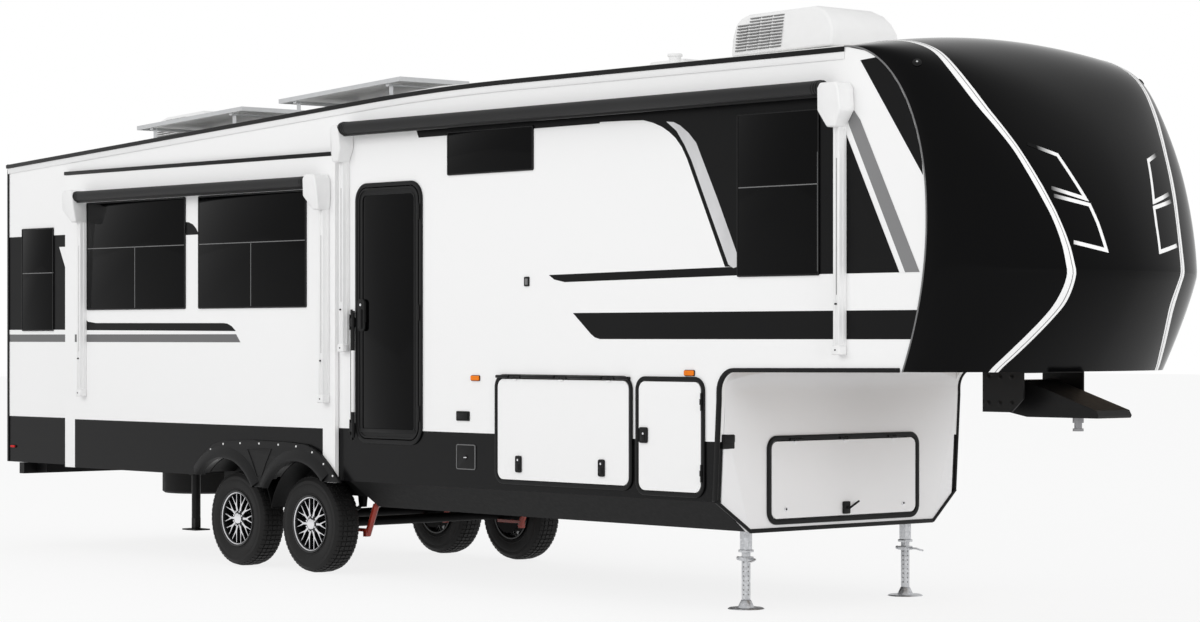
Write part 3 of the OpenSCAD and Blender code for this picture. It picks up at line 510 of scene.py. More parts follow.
white, belt, gloss = (0.92, 0.92, 0.92), (0.0050, 0.0050, 0.0053), (0.0012, 0.0012, 0.0014)
beltZ = 1.170
whiteSkin = skinPaint("whiteSkin", white).material
# painted shade: the front wall and its generator door get a darker grey copy of the white skin, for the shade that wall
# stands in
shadedFrontSkin = skinPaint("shadedFrontSkin", (0.87, 0.87, 0.88), 0.3).material
baySkin, smallSkin = hingedPaint("baySkin", white, 2, 1.5765), hingedPaint("smallDoorSkin", white, 0, 3.1625)
shadedGeneratorSkin = hingedPaint("shadedGeneratorSkin", (0.87, 0.87, 0.88), 2, 1.1605)
wallSkin = beltPaint("wallSkin", white, belt, beltZ)
fasciaBox = boxOf("slide_box_curb")
flangeWide = 0.16
slideSkin = beltPaint("slideSkin", white, belt, beltZ - 0.006, fasciaBox[0].x + flangeWide,
                      fasciaBox[1].x - flangeWide)
capPaint = Paint("capGloss", gloss, 0.1, Specular_IOR_Level=0.085)
capPaint.set("Roughness", 0.08 + capPaint.noise(1.6, 3) * 0.06)
capPaint.bump(capPaint.noise(9, 2), 0.0012, 0.12)
capBlack = capPaint.material
blackVinyl = plainPaint("blackVinyl", (0.0040, 0.0040, 0.0043), 0.3, 12, 0, 0.1, Specular_IOR_Level=0.12)
whiteVinyl = plainPaint("whiteVinyl", (0.9, 0.9, 0.9), 0.3, 12, 0, 0.03)
greyVinyl = plainPaint("greyVinyl", (0.13, 0.13, 0.132), 0.3, 12, 0, 0.06)
midVinyl = plainPaint("midVinyl", (0.21, 0.21, 0.213), 0.3, 12, 0, 0.06)
silverVinyl = silverPaint()
roofWhite = membranePaint()
frameBlack = plainPaint("frameBlack", (0.0065, 0.0065, 0.0068), 0.42, 90, 0.0003, 0.2, Specular_IOR_Level=0.2)
trimBlack = plainPaint("trimBlack", (0.0045, 0.0045, 0.0048), 0.34, 120, 0.0002, 0.15, Specular_IOR_Level=0.2)
moulded = plainPaint("mouldedBlack", (0.0075, 0.0075, 0.0078), 0.5, 260, 0.0004, 0.2, Specular_IOR_Level=0.22)
# painted shade: a black darker than the moulded black for the underside parts, so they stay dark against the light the
# floor throws up
underShadeBlack = plainPaint("underShadeBlack", (0.0028, 0.0028, 0.003), 0.6, 90, 0.0004, 0.25, Specular_IOR_Level=0.1)
glass = plainPaint("darkGlass", (0.0012, 0.0012, 0.0014), 0.07, 3, 0.0005, 0.05, Specular_IOR_Level=0.09)
barGrey = plainPaint("barGrey", (0.16, 0.16, 0.162), 0.4, 40, 0, 0.1)
whitePlastic = plainPaint("whitePlastic", (0.86, 0.86, 0.86), 0.36, 80, 0.0002, 0.03)
# painted shade: a dark grey laid in slots, louvre gaps, the awning arm grooves and the leg pin holes, for the shade
# inside them
slotShadeGrey = plainPaint("slotShadeGrey", (0.2, 0.2, 0.2), 0.6, 60, 0, 0.1)
galvanised = spanglePaint("galvanisedSteel")
amber = plainPaint("amberLens", (0.85, 0.2, 0.004), 0.25, 60, 0.0005, 0.15, Specular_IOR_Level=0.2)
redLens = plainPaint("redLens", (0.6, 0.008, 0.008), 0.25, 60, 0.0005, 0.15, Specular_IOR_Level=0.2)
redPaint = plainPaint("shockRed", (0.42, 0.035, 0.015), 0.35, 60, 0.0002, 0.15, Coat_Weight=0.3)
solarGlass = solarPaint()
board = boardPaint()
steel = plainPaint("bareSteel", (0.33, 0.33, 0.34), 0.38, 70, 0.0002, 0.15, 0.9)
brightAlloy = plainPaint("machinedAlloy", (0.78, 0.78, 0.8), 0.22, 200, 0.0001, 0.08, 0.95)
darkAlloy = plainPaint("blackAlloy", (0.012, 0.012, 0.013), 0.25, 60, 0.0001, 0.15, 0.2)
chrome = plainPaint("chrome", (0.8, 0.8, 0.82), 0.12, 60, 0, 0.05, 1.0)
panelAlloy = plainPaint("panelAlloy", (0.62, 0.63, 0.64), 0.35, 120, 0.0001, 0.08, 0.7)
rubber = rubberPaint()
fabric = fabricPaint()
print("paints mixed")

# the chassis, belly pan, axles and springs take the darker underside black, which is painted shade
cadPaints = {
    "chassis_rails": underShadeBlack, "belly_pan": underShadeBlack, "main_floor": board, "bay_floor": board,
    "bulkhead": board, "bedroom_deck": board, "wall_curb": wallSkin, "wall_road": wallSkin,
    "wall_rear": wallSkin, "roof_panel": roofWhite, "front_wall": shadedFrontSkin, "door_frame": trimBlack,
    "pin_box": frameBlack, "kingpin": steel, "rear_jacks": frameBlack, "axles": underShadeBlack,
    "leaf_springs": underShadeBlack, "shocks": redPaint, "bumper": frameBlack, "spare_wheel": rubber,
    "slide_box_curb": slideSkin, "slide_box_road": slideSkin, "entry_door": trimBlack,
    "baggage_door_large": baySkin, "baggage_door_small": smallSkin, "baggage_door_road": baySkin,
    "generator_door": shadedGeneratorSkin,
}
for node, paint in cadPaints.items():
    dress(nodes[node], paint)
print("carried-over nodes painted")

# nose cap: a shell whose edge, nose and plan section follow its height
capShape = {
    "topX": 4.508, "edgeX": 5.225, "edgeZ": 2.640, "noseX": 5.950, "noseZ": 2.300, "noseFall": 0.364,
    "deckZ": 1.660, "roofZ": 3.780, "crown": 0.115, "shell": 0.03, "rows": 84, "columns": 120,
}


def capRise(z):
    return max(0.0, z - capShape["edgeZ"]) / (capShape["roofZ"] - capShape["edgeZ"])


def capEdge(z):
    s = capShape
    if z > s["edgeZ"]:
        return s["topX"] + (s["edgeX"] - s["topX"]) * math.sqrt(max(0.0, 1 - capRise(z) ** 2.2))
    return s["edgeX"] - 0.206 * ((s["edgeZ"] - z) / (s["edgeZ"] - s["deckZ"])) ** 2


def capNose(z):
    s = capShape
    if z > s["noseZ"]:
        reach = max(0.0, 1 - ((z - s["noseZ"]) / (s["roofZ"] - s["noseZ"])) ** 1.3)
        return s["topX"] + (s["noseX"] - s["topX"]) * reach ** 0.36
    return s["noseX"] - s["noseFall"] * ((s["noseZ"] - z) / (s["noseZ"] - s["deckZ"])) ** 1.18


def capPoint(z, degrees, out=0.0):
    z = min(z, capShape["roofZ"])
    a = math.radians(degrees)
    power = 1.8 + 10.5 * capRise(z) ** 7.5
    swell = max(0.0, 1 - abs(math.sin(a)) ** power) ** 0.415
    place = Vector((capEdge(z) + max(0.0, capNose(z) - capEdge(z)) * swell + 0.0005, wallFace * math.sin(a),
                    z + capShape["crown"] * capRise(z) ** 3.2 * math.cos(a) ** 2))
    return place + capNormal(z, degrees) * out if out else place


def capNormal(z, degrees):
    z = min(z, capShape["roofZ"] - 0.004)
    up = capPoint(z + 0.003, degrees) - capPoint(z - 0.003, degrees)
    around = capPoint(z, degrees + 0.2) - capPoint(z, degrees - 0.2)
    return around.cross(up).normalized()


def capHeight(share):
    return capShape["deckZ"] + (capShape["roofZ"] - capShape["deckZ"]) * math.sin(math.pi / 2 * share)


def capTurn(share):
    # crowded towards the two side edges, where the section turns fastest
    s = 2 * share - 1
    return 90 * math.copysign(1 - (1 - abs(s)) ** 1.6, s)


rows, columns = capShape["rows"], capShape["columns"]
cap = gridSheet(rows, columns, lambda i, j: capPoint(capHeight(i / rows), capTurn(j / columns)))
modify(cap, "SOLIDIFY", thickness=capShape["shell"], offset=-1)
finish(cap, "noseCap", "trailer", capBlack, ["nose_cap"], 40)

capBead = {"radius": 0.006, "steps": 70}
beadLine = [(capEdge(z) - 0.003, -wallFace - 0.001, z)
            for z in (capHeight(k / capBead["steps"]) for k in range(capBead["steps"] + 1))]
bead = both([sweep(beadLine, capBead["radius"])])
finish(bead, "capEdgeBead", "trailer", barGrey)
print("nose cap shaped")

# stripes on the cap: (turn in degrees, height of the level)
capStripes = {
    "lift": 0.0012, "thick": 0.0010, "rows": 110, "columns": 5,
    "outer": ((3.780, 51.5), (3.755, 52.6), (3.700, 53.2), (3.631, 54.4), (3.566, 54.3), (3.471, 52.5),
              (3.350, 49.3), (3.220, 44.9), (3.080, 40.7), (2.947, 38.0), (2.814, 35.4), (2.644, 32.3),
              (2.474, 30.4), (2.356, 29.8), (2.221, 29.2), (2.102, 30.2), (2.009, 32.5), (1.882, 36.8),
              (1.774, 41.0), (1.660, 45.2)),
    "inner": ((3.780, 47.5), (3.755, 48.6), (3.700, 49.0), (3.622, 49.8), (3.545, 49.1), (3.446, 47.0),
              (3.319, 44.0), (3.211, 40.9), (3.105, 38.1), (2.964, 35.2), (2.848, 32.9), (2.679, 30.0),
              (2.484, 27.5), (2.356, 26.5), (2.225, 25.6), (2.104, 26.0), (2.009, 28.4), (1.882, 32.5),
              (1.774, 36.6), (1.660, 41.0)),
    "pinline": 0.0035,
    "stroke": 0.026,
    "brackets": (((33.5, 3.112), (22.4, 3.046), (16.6, 2.768), (29.6, 2.832)),
                 ((29.4, 2.782), (15.7, 2.729), (14.3, 2.615), (13.0, 2.438), (25.6, 2.486))),
}


def between(table, z):
    # smooth value of a table of (z, value), z falling
    last = len(table) - 1
    k = next((n for n in range(last) if z >= table[n + 1][0]), last - 1)
    z0, z1 = table[k][0], table[k + 1][0]
    t = (z - z0) / (z1 - z0)
    p0, p1 = table[max(0, k - 1)][1], table[k][1]
    p2, p3 = table[k + 1][1], table[min(last, k + 2)][1]
    return 0.5 * (2 * p1 + (p2 - p0) * t + (2 * p0 - 5 * p1 + 4 * p2 - p3) * t * t
                  + (3 * p1 - p0 - 3 * p2 + p3) * t ** 3)


def capBand(lowShare, highShare, lift):
    s = capStripes

    def pointAt(i, j):
        z = capHeight(i / s["rows"])
        outer, inner = between(s["outer"], z), between(s["inner"], z)
        share = lowShare + (highShare - lowShare) * j / s["columns"]
        return capPoint(z, -(outer + (inner - outer) * share), lift)
    return gridSheet(s["rows"], s["columns"], pointAt)


def capRibbon(points, width, lift):
    # a stroke along a line of (turn, height) points on the cap
    line = []
    for k in range(len(points) - 1):
        for n in range(8):
            t = n / 8
            line.append((points[k][0] + (points[k + 1][0] - points[k][0]) * t,
                         points[k][1] + (points[k + 1][1] - points[k][1]) * t))
    line.append(points[-1])
    places = [capPoint(z, -a, lift) for a, z in line]
    normals = [capNormal(z, -a) for a, z in line]
    edges = []
    for k, place in enumerate(places):
        before = (place - places[k - 1]).normalized() if k else None
        after = (places[k + 1] - place).normalized() if k + 1 < len(places) else None
        way = ((before or after) + (after or before)).normalized()
        stretch = 1 / max(0.45, way.dot(after or before))
        across = normals[k].cross(way).normalized() * width / 2 * stretch
        edges.append((place - across, place + across))
    return gridSheet(len(edges) - 1, 1, lambda i, j: edges[i][j])


fade = Paint("fadingWhite", (0.9, 0.9, 0.9), 0.3, Specular_IOR_Level=0.12)
across = fade.add("ShaderNodeMath", {"operation": "ABSOLUTE"}, {0: fade.axis(1)})
share = fade.ramp(across, ((0.49, 0.0), (0.61, 1.0)))
fade.set("Base Color", fade.blend(share, (0.9, 0.9, 0.9), gloss))
fadingWhite = fade.material
bands = [dress(capBand(0, 1, capStripes["lift"]), whiteVinyl),
         dress(capBand(0.62, 0.7, capStripes["lift"] + 0.0008), barGrey)]
for bracket in capStripes["brackets"]:
    bands.append(dress(capRibbon(bracket, capStripes["stroke"], capStripes["lift"]), fadingWhite))
for band in bands:
    modify(band, "SOLIDIFY", thickness=capStripes["thick"], offset=-1)
stripes = both(bands)
finish(stripes, "capStripes", "trailer", None, (), 40)
print("cap stripes laid")

# flat graphics on the side walls, drawn as (x, z)
vinyl = {"thick": 0.0009, "base": 0.0002}
topBandZ, bandFrom = 3.405, 0.02
sweepTop = [(2.114, 3.412), (2.36, 3.408), (2.572, 3.401), (2.67, 3.378), (2.76, 3.346), (2.835, 3.306),
            (2.9, 3.260), (2.962, 3.195), (3.015, 3.112), (3.20, 2.742), (3.389, 2.362)]
wallGraphics = [
    (blackVinyl, [(-5.945, 1.95), (-4.925, 1.95), (-4.925, 2.39), (-5.085, 2.685), (-4.925, 2.685),
                  (-4.925, 2.79), (-5.945, 2.79)]),
    (greyVinyl, [(-5.945, 1.842), (-4.925, 1.842), (-4.925, 1.908), (-5.945, 1.908)]),
    (blackVinyl, [(0.015, 3.462), (0.045, 3.403), (2.113, 3.403), (2.113, 3.462)]),
    (blackVinyl, sweepTop + [(3.56, 2.362), (3.56, 2.298), (4.99, 2.298), (4.515, 3.22), (4.38, 3.47), (2.114, 3.47)]),
    (blackVinyl, [(1.56, 2.334), (1.62, 2.300), (1.736, 2.280), (3.559, 2.302), (3.559, 2.3615)]),
    (silverVinyl, [(2.807, 3.379), (2.88, 3.372), (2.946, 3.345), (3.03, 3.29), (3.107, 3.218), (3.32, 2.82),
                   (3.505, 2.453), (3.512, 2.36), (3.47, 2.352), (3.423, 2.377), (3.26, 2.70), (3.06, 3.10),
                   (2.99, 3.21), (2.91, 3.31)]),
    (whiteVinyl, [(4.470, 3.32), (4.515, 3.24), (5.000, 2.298), (5.040, 2.298), (4.545, 3.27), (4.49, 3.37)]),
    (midVinyl, [(4.545, 3.27), (5.040, 2.298), (5.164, 2.298), (4.648, 3.293), (4.59, 3.36), (4.526, 3.404)]),
    (blackVinyl, [(4.648, 3.68), (5.192, 2.914)] + [(capEdge(z) - 0.012, z) for z in
                 (3.0, 3.1, 3.2, 3.3, 3.4, 3.5, 3.58, 3.64, 3.69)]),
    (blackVinyl, [(1.824, 2.057), (2.02, 1.905), (2.06, 1.882), (2.114, 1.870)]
     + [(capEdge(1.87) - 0.008, 1.870), (capEdge(2.057) - 0.008, 2.057)]),
]
slideGraphics = [
    (blackVinyl, [(-3.032, 2.847), (-2.99, 2.844), (-2.93, 2.825), (-2.88, 2.787), (-2.843, 2.738), (-3.032, 2.738)]),
    (greyVinyl, [(-4.76, 1.842), (-2.245, 1.842), (-2.305, 1.908), (-4.76, 1.908)]),
    (blackVinyl, [(-4.70, 1.946), (-2.31, 1.934), (-2.37, 1.975), (-2.43, 1.995), (-2.48, 2.000),
                  (-4.42, 2.007), (-4.55, 2.020), (-4.60, 2.055), (-4.70, 2.055)]),
]


def layGraphics(table, face, name, bodies):
    parts = []
    for paint, outline in table:
        lift = vinyl["base"] + (0.0009 if paint in (silverVinyl, whiteVinyl, midVinyl) else 0)
        parts.append(dress(onSide(plate(outline, vinyl["thick"], lift), "curb", face), paint))
    whole = join(parts)
    other = twin(whole, mirrorY)
    for obj, body, side in ((whole, bodies[0], "Curb"), (other, bodies[1], "Road")):
        finish(obj, name + side, body, None, (), 0)


layGraphics(wallGraphics, wallFace, "wallGraphics", ("trailer", "trailer"))
layGraphics(slideGraphics, slideFace, "slideGraphics", ("slide_curb", "slide_road"))
print("side graphics laid")

# windows: tinted panes that stand off the skin, with thin bars
windowTable = {
    "corner": 0.014, "edge": 0.012, "proud": 0.0095, "bar": 0.007,
    "rear": (-5.704, 1.940, -5.170, 2.860), "transom": (0.398, 3.100, 1.393, 3.430),
    "bed": (3.512, 2.290, 4.283, 3.390),
    "slide": ((-4.555, 2.120, -3.033, 3.056), (-2.842, 2.120, -1.332, 3.056)),
    "back": (-0.600, 2.000, 0.600, 2.750),
}


def window(box, bars, side, face):
    t = windowTable
    outline = roundBox(box, t["corner"], 0, 5)
    parts = [dress(ring(outline, t["edge"], t["proud"] + 0.0015, 0, 0.002), trimBlack),
             dress(plate(roundBox(box, t["corner"], -0.004, 5), t["proud"] - 0.001, 0.0003, 0.0008), glass)]
    for x0, z0, x1, z1 in bars:
        half = t["bar"] / 2
        parts.append(dress(block((x0 - half, z0 - half, t["proud"] - 0.002), (x1 + half, z1 + half, t["proud"] + 0.001),
                                 0.001, 1), barGrey))
    return onSide(join(parts), side, face)


t = windowTable
curbSide = [window(t["rear"], [(t["rear"][0] + 0.02, 2.457, t["rear"][2], 2.457),
                               (t["rear"][2] - 0.006, t["rear"][1], t["rear"][2] - 0.006, t["rear"][3])],
                   "curb", wallFace),
            window(t["bed"], [(t["bed"][0] + 0.02, 2.892, t["bed"][2] - 0.012, 2.892),
                              (t["bed"][2] - 0.012, 2.32, t["bed"][2] - 0.012, 3.1)], "curb", wallFace)]
roadSide = [twin(obj, mirrorY) for obj in curbSide]
curbSide.append(window(t["transom"], [], "curb", wallFace))
finish(join(curbSide), "windowsCurb", "trailer", None, ["windows_curb"], 30)
finish(join(roadSide), "windowsRoad", "trailer", None, ["windows_road"], 30)
barZ = 2.655
slidePanes = []
for box in t["slide"]:
    middle = (box[0] + box[2]) / 2
    slidePanes.append(window(box, [(box[0] + 0.02, barZ, box[2] - 0.02, barZ),
                                   (middle, box[1] + 0.02, middle, barZ)], "curb", slideFace))
slidePanes = join(slidePanes)
other = twin(slidePanes, mirrorY)
finish(slidePanes, "slideWindowsCurb", "slide_curb", None, ["slide_windows_curb"], 30)
finish(other, "slideWindowsRoad", "slide_road", None, ["slide_windows_road"], 30)
finish(window(t["back"], [(0, t["back"][1] + 0.02, 0, t["back"][3] - 0.02)], "rear", rearFace),
       "windowRear", "trailer", None, ["window_rear"], 30)
print("windows glazed")

# mouldings along the roof, the rear corners and the front wall
moulding = {"roofHigh": 0.034, "roofProud": 0.016, "gutterHigh": 0.05, "gutterProud": 0.009, "edge": 0.03,
            "edgeProud": 0.012, "rearZ": 3.450, "roofZ": 3.780, "bendX": 0.300, "skirtZ": 0.757,
            "panZ": 0.545, "panY": 0.932, "cove": 0.150, "deckZ": 1.660, "facetBack": 0.040, "facetZ": 1.460}
m = moulding
roofLine = [(-rearFace - 0.02, m["rearZ"] - 0.001)]
for k in range(9):
    s = k / 8
    x = m["bendX"] - 0.9 + 1.8 * s
    roofLine.append((x, m["roofZ"] - 0.0475 * (1 - s) ** 2))
roofLine += [(3.0, m["roofZ"]), (capShape["topX"], m["roofZ"])]
drop = m["roofHigh"] / 2
roofRail = plate(ribbon([(x, z - drop) for x, z in roofLine], m["roofHigh"]), m["roofProud"], 0.0003, 0.006, 3)
gutterLine = [(x, z - m["roofHigh"] - m["gutterHigh"] / 2) for x, z in roofLine]
gutterLine[0] = (-rearFace, gutterLine[0][1])
gutter = plate(ribbon(gutterLine, m["gutterHigh"]), m["gutterProud"], 0.0003, 0.004, 2)
roofRail, gutter = onSide(roofRail, "curb", wallFace), onSide(gutter, "curb", wallFace)
rearCorner = plate([(-rearFace - 0.008, m["skirtZ"]), (-rearFace + 0.022, m["skirtZ"]),
                    (-rearFace + 0.022, m["rearZ"] - 0.04), (-rearFace - 0.008, m["rearZ"] - 0.04)],
                   0.008, 0.0003, 0.003)
trims = [dress(roofRail, trimBlack), dress(gutter, whitePlastic), dress(onSide(rearCorner, "curb", wallFace),
                                                                       trimBlack)]
coveEdge = [(frontFace + 0.148 * (1 - math.cos(math.radians(a))), m["deckZ"] - 0.148
             * (1 - math.sin(math.radians(a)))) for a in range(90, -1, -10)]
frontEdge = [(capEdge(m["deckZ"]) - 0.01, m["deckZ"] - 0.001)] + coveEdge + [
    (frontFace, m["facetZ"]), (frontFace - m["facetBack"], m["skirtZ"] + 0.004)]
frontStrip = plate(ribbon([(x - 0.012, z + (0.012 if x > frontFace + 0.2 else 0)) for x, z in frontEdge],
                          m["edge"]), m["edgeProud"], 0.0003, 0.005, 3)
trims.append(dress(onSide(frontStrip, "curb", wallFace), trimBlack))
trims.append(dress(sweep([(x + 0.001, -wallFace + 0.001, z) for x, z in frontEdge[1:]], 0.012, False, 3), trimBlack))
chamfer = sweep([(frontFace - m["facetBack"] + 0.003, -wallFace, m["skirtZ"] + 0.006),
                 (frontFace + 0.004, -m["panY"], m["panZ"] + 0.004)], 0.013, False, 3)
trims.append(dress(chamfer, trimBlack))
sideTrim = both(trims)
front = [dress(block((frontFace - 0.012, -m["panY"], m["panZ"] - 0.010), (frontFace + 0.012, m["panY"],
                                                                      m["panZ"] + 0.020), 0.006, 3), trimBlack),
         dress(block((-rearFace - 0.014, -wallFace - 0.01, m["rearZ"] - 0.036),
                     (-rearFace + 0.004, wallFace + 0.01, m["rearZ"] + 0.004), 0.006, 3), trimBlack)]
finish(join([sideTrim] + front), "edgeMouldings", "trailer", None, ["edge_trim"], 40)
sealTop = fasciaBox[1].z
sealBar = block((-4.935, -slideFace - 0.006, sealTop - 0.012), (-0.955, -slideFace + 0.030, sealTop + 0.020), 0.006, 3)
seal = dress(sealBar, trimBlack)
finish(seal, "slideSealCurb", "slide_curb", None, (), 40)
finish(twin(seal, mirrorY), "slideSealRoad", "slide_road", None, (), 40)
print("mouldings fitted")

# frames round the doors, in the plane of the wall
doorFrames = {"gap": 0.006, "wide": 0.030, "proud": 0.016, "bevel": 0.006,
              "entry": ((-0.697, 1.100, 0.058, 3.040), 0.100),
              "large": ((0.997, 0.839, 2.429, 1.576), 0.060),
              "small": ((2.536, 0.816, 3.162, 1.575), 0.060),
              "generator": ((-0.733, 0.626, 0.733, 1.160), 0.050)}


def surround(key, side, face, wide=None):
    d = doorFrames
    box, radius = d[key]
    wide = wide or d["wide"]
    outline = roundBox(box, radius, d["gap"] + wide, 10)
    return onSide(ring(outline, wide, d["proud"], 0.0003, d["bevel"], 3), side, face)


hingeRail = {"z": (1.5835, 1.606), "proud": 0.031, "breaks": (1.200, 1.713, 2.226), "half": 0.072}
h = hingeRail
rails = []
stops = [0.985] + [x + s * h["half"] for x in h["breaks"] for s in (-1, 1)] + [2.441]
for x0, x1 in zip(stops[::2], stops[1::2]):
    rails.append(block((x0, -wallFace - h["proud"], h["z"][0]), (x1, -wallFace, h["z"][1]), 0.008, 3))
bay = join([surround("large", "curb", wallFace)] + rails)
frames = [surround("entry", "curb", wallFace, 0.034), surround("small", "curb", wallFace), bay,
          twin(bay, mirrorY), surround("generator", "front", frontFace, 0.036)]
finish(join(frames), "doorSurrounds", "trailer", trimBlack, (), 40)
print("door frames fitted")

latchShape = {"proud": 0.017, "corner": 0.014}


def latch(x, z, wide, high, outer, side, keyAt=(0, 0.25)):
    # paddle latch: a rounded plate, a sunk cup, the paddle and a key barrel
    box = (x - wide / 2, z - high / 2, x + wide / 2, z + high / 2)
    s = latchShape
    parts = [dress(plate(roundBox(box, s["corner"], 0, 5), 0.0132, 0.0003, 0.003), moulded),
             dress(ring(roundBox(box, s["corner"], -0.004, 5), 0.007, 0.0150, 0.001, 0.003), moulded),
             dress(block((x - wide * 0.28, z - high * 0.36, s["proud"] * 0.4),
                         (x + wide * 0.28, z + high * 0.02, s["proud"]), 0.004, 2), trimBlack),
             dress(rod((x + keyAt[0] * wide, z + keyAt[1] * high, 0.004),
                       (x + keyAt[0] * wide, z + keyAt[1] * high, s["proud"]), 0.0085, 20, 0.001), chrome)]
    return onSide(join(parts), side, outer)


leafFace = wallFace + 0.012
bigLatches = join([latch(1.240, 0.955, 0.066, 0.122, leafFace, "curb"),
                   latch(2.150, 0.955, 0.066, 0.122, leafFace, "curb")])
roadLatches = twin(bigLatches, mirrorY)
finish(bigLatches, "latchesLarge", "baggage_door_large")
finish(roadLatches, "latchesRoad", "baggage_door_road")
finish(latch(2.590, 1.200, 0.084, 0.110, leafFace, "curb", (0.05, 0.1)), "latchSmall", "baggage_door_small")

genLatch = {"z": 0.680, "locks": (-0.600, 0.600), "lockZ": 0.690}
g = genLatch
handleParts = [
    dress(block((-0.034, g["z"] - 0.044, 0.0003), (0.034, g["z"] + 0.044, 0.024), 0.008, 3), moulded),
    dress(rod((0.0, g["z"] + 0.0, 0.012), (0.0, g["z"], 0.040), 0.009, 20, 0.002), frameBlack),
    dress(rod((0.004, g["z"] - 0.004, 0.038), (0.095, g["z"] + 0.045, 0.046), 0.0075, 16, 0.003), frameBlack)]
for y in g["locks"]:
    handleParts.append(dress(rod((y, g["lockZ"], 0.0), (y, g["lockZ"], 0.010), 0.015, 24, 0.002), chrome))
    handleParts.append(dress(rod((y, g["lockZ"], 0.008), (y, g["lockZ"], 0.0125), 0.008, 20, 0.001), moulded))
finish(onSide(join(handleParts), "front", frontFace + 0.012), "generatorHandle", "generator_door")
print("latches fitted")

# entry door: tinted pane, inner frame, latch set and kick strip
entry = {"rail": 0.055, "proud": 0.012, "latchX": -0.640, "latchZ": (1.93, 2.18), "handleZ": (1.30, 1.86)}
e = entry
leafBox, leafRound = doorFrames["entry"]
doorParts = [
    dress(plate(roundBox(leafBox, leafRound, -e["rail"] + 0.002, 10), 0.003, -0.0045, 0.001), glass),
    dress(ring(roundBox(leafBox, leafRound, -0.002, 10), 0.016, 0.005, 0.0003, 0.002), frameBlack),
    dress(ring(roundBox(leafBox, leafRound, -e["rail"] + 0.012, 10), 0.014, 0.006, -0.003, 0.0025), frameBlack),
    dress(plate(roundBox((e["latchX"] - 0.045, e["latchZ"][0], e["latchX"] + 0.045, e["latchZ"][1]), 0.03), 0.020,
                0.0003, 0.006, 3), moulded),
    dress(block((e["latchX"] - 0.018, e["latchZ"][0] + 0.02, 0.018), (e["latchX"] + 0.018, e["latchZ"][1] - 0.08, 0.030),
                0.005, 3), trimBlack),
    dress(rod((e["latchX"], e["latchZ"][1] - 0.045, 0.010), (e["latchX"], e["latchZ"][1] - 0.045, 0.026), 0.011, 24,
              0.001), chrome),
    dress(block((leafBox[0] + 0.03, leafBox[1] + 0.045, 0.0003), (leafBox[2] - 0.03, leafBox[1] + 0.075, 0.006),
                0.002, 2), frameBlack)]
finish(onSide(join(doorParts), "curb", wallFace + e["proud"]), "entryDoorFittings", "entry_door")
print("entry door fitted")

# folding grab handle: two hinge blocks, a black stem and a pale grip
grab = {"x": -0.740, "y": -1.250, "z": (1.100, 2.090), "grip": (1.30, 1.78), "radius": 0.014}
g = grab
hinges = [block((-0.792, -1.252, z - 0.035), (-0.726, -1.232, z + 0.035), 0.005, 3) for z in (1.180, 2.000)]
stem = [dress(obj, moulded) for obj in hinges]
stem.append(dress(rod((g["x"], g["y"], g["z"][0]), (g["x"], g["y"], g["z"][1]), g["radius"], 24, 0.004), moulded))
stem.append(dress(rod((g["x"], g["y"], g["grip"][0]), (g["x"], g["y"], g["grip"][1]), g["radius"] + 0.003, 24, 0.003),
                  whitePlastic))
finish(join(stem), "grabHandle", "grab_handle", None, ["grab_handle"])
print("grab handle fitted")

# awnings: a fabric roll between two heads, and a grooved arm below each head
awnings = {
    "main": {"heads": ((-0.895, -0.768), (4.390, 4.600)), "head": (3.290, 3.540), "arms": (-0.857, 4.490),
             "foot": 1.780, "roll": 0.050, "rollZ": 3.510, "face": wallFace, "body": "trailer"},
    "slide": {"heads": ((-4.745, -4.562), (-1.200, -1.010)), "head": (2.925, 3.165), "arms": (-4.602, -1.065),
              "foot": 1.378, "roll": 0.044, "rollZ": 3.110, "face": slideFace, "body": "slide_curb"},
    "deep": 0.155, "armWide": 0.070,
}


def awningHead(x0, x1, low, high, armX, armWide, deep):
    outline = [(x0 + 0.012, high - 0.035), (x0 + 0.035, high), (x1 - 0.035, high), (x1 - 0.008, high - 0.035),
               (x1, low + 0.11), (armX + armWide * 0.62, low + 0.015), (armX + armWide * 0.5, low),
               (armX - armWide * 0.5, low), (armX - armWide * 0.62, low + 0.015), (x0, low + 0.11)]
    head = plate(outline[::-1], deep, 0.0005, 0.014, 4)
    for vertex in head.data.vertices:
        if vertex.co.z > deep * 0.6:
            fall = (high - vertex.co.y) / (high - low)
            vertex.co.z -= 0.055 * max(0.0, fall - 0.35)
    return head


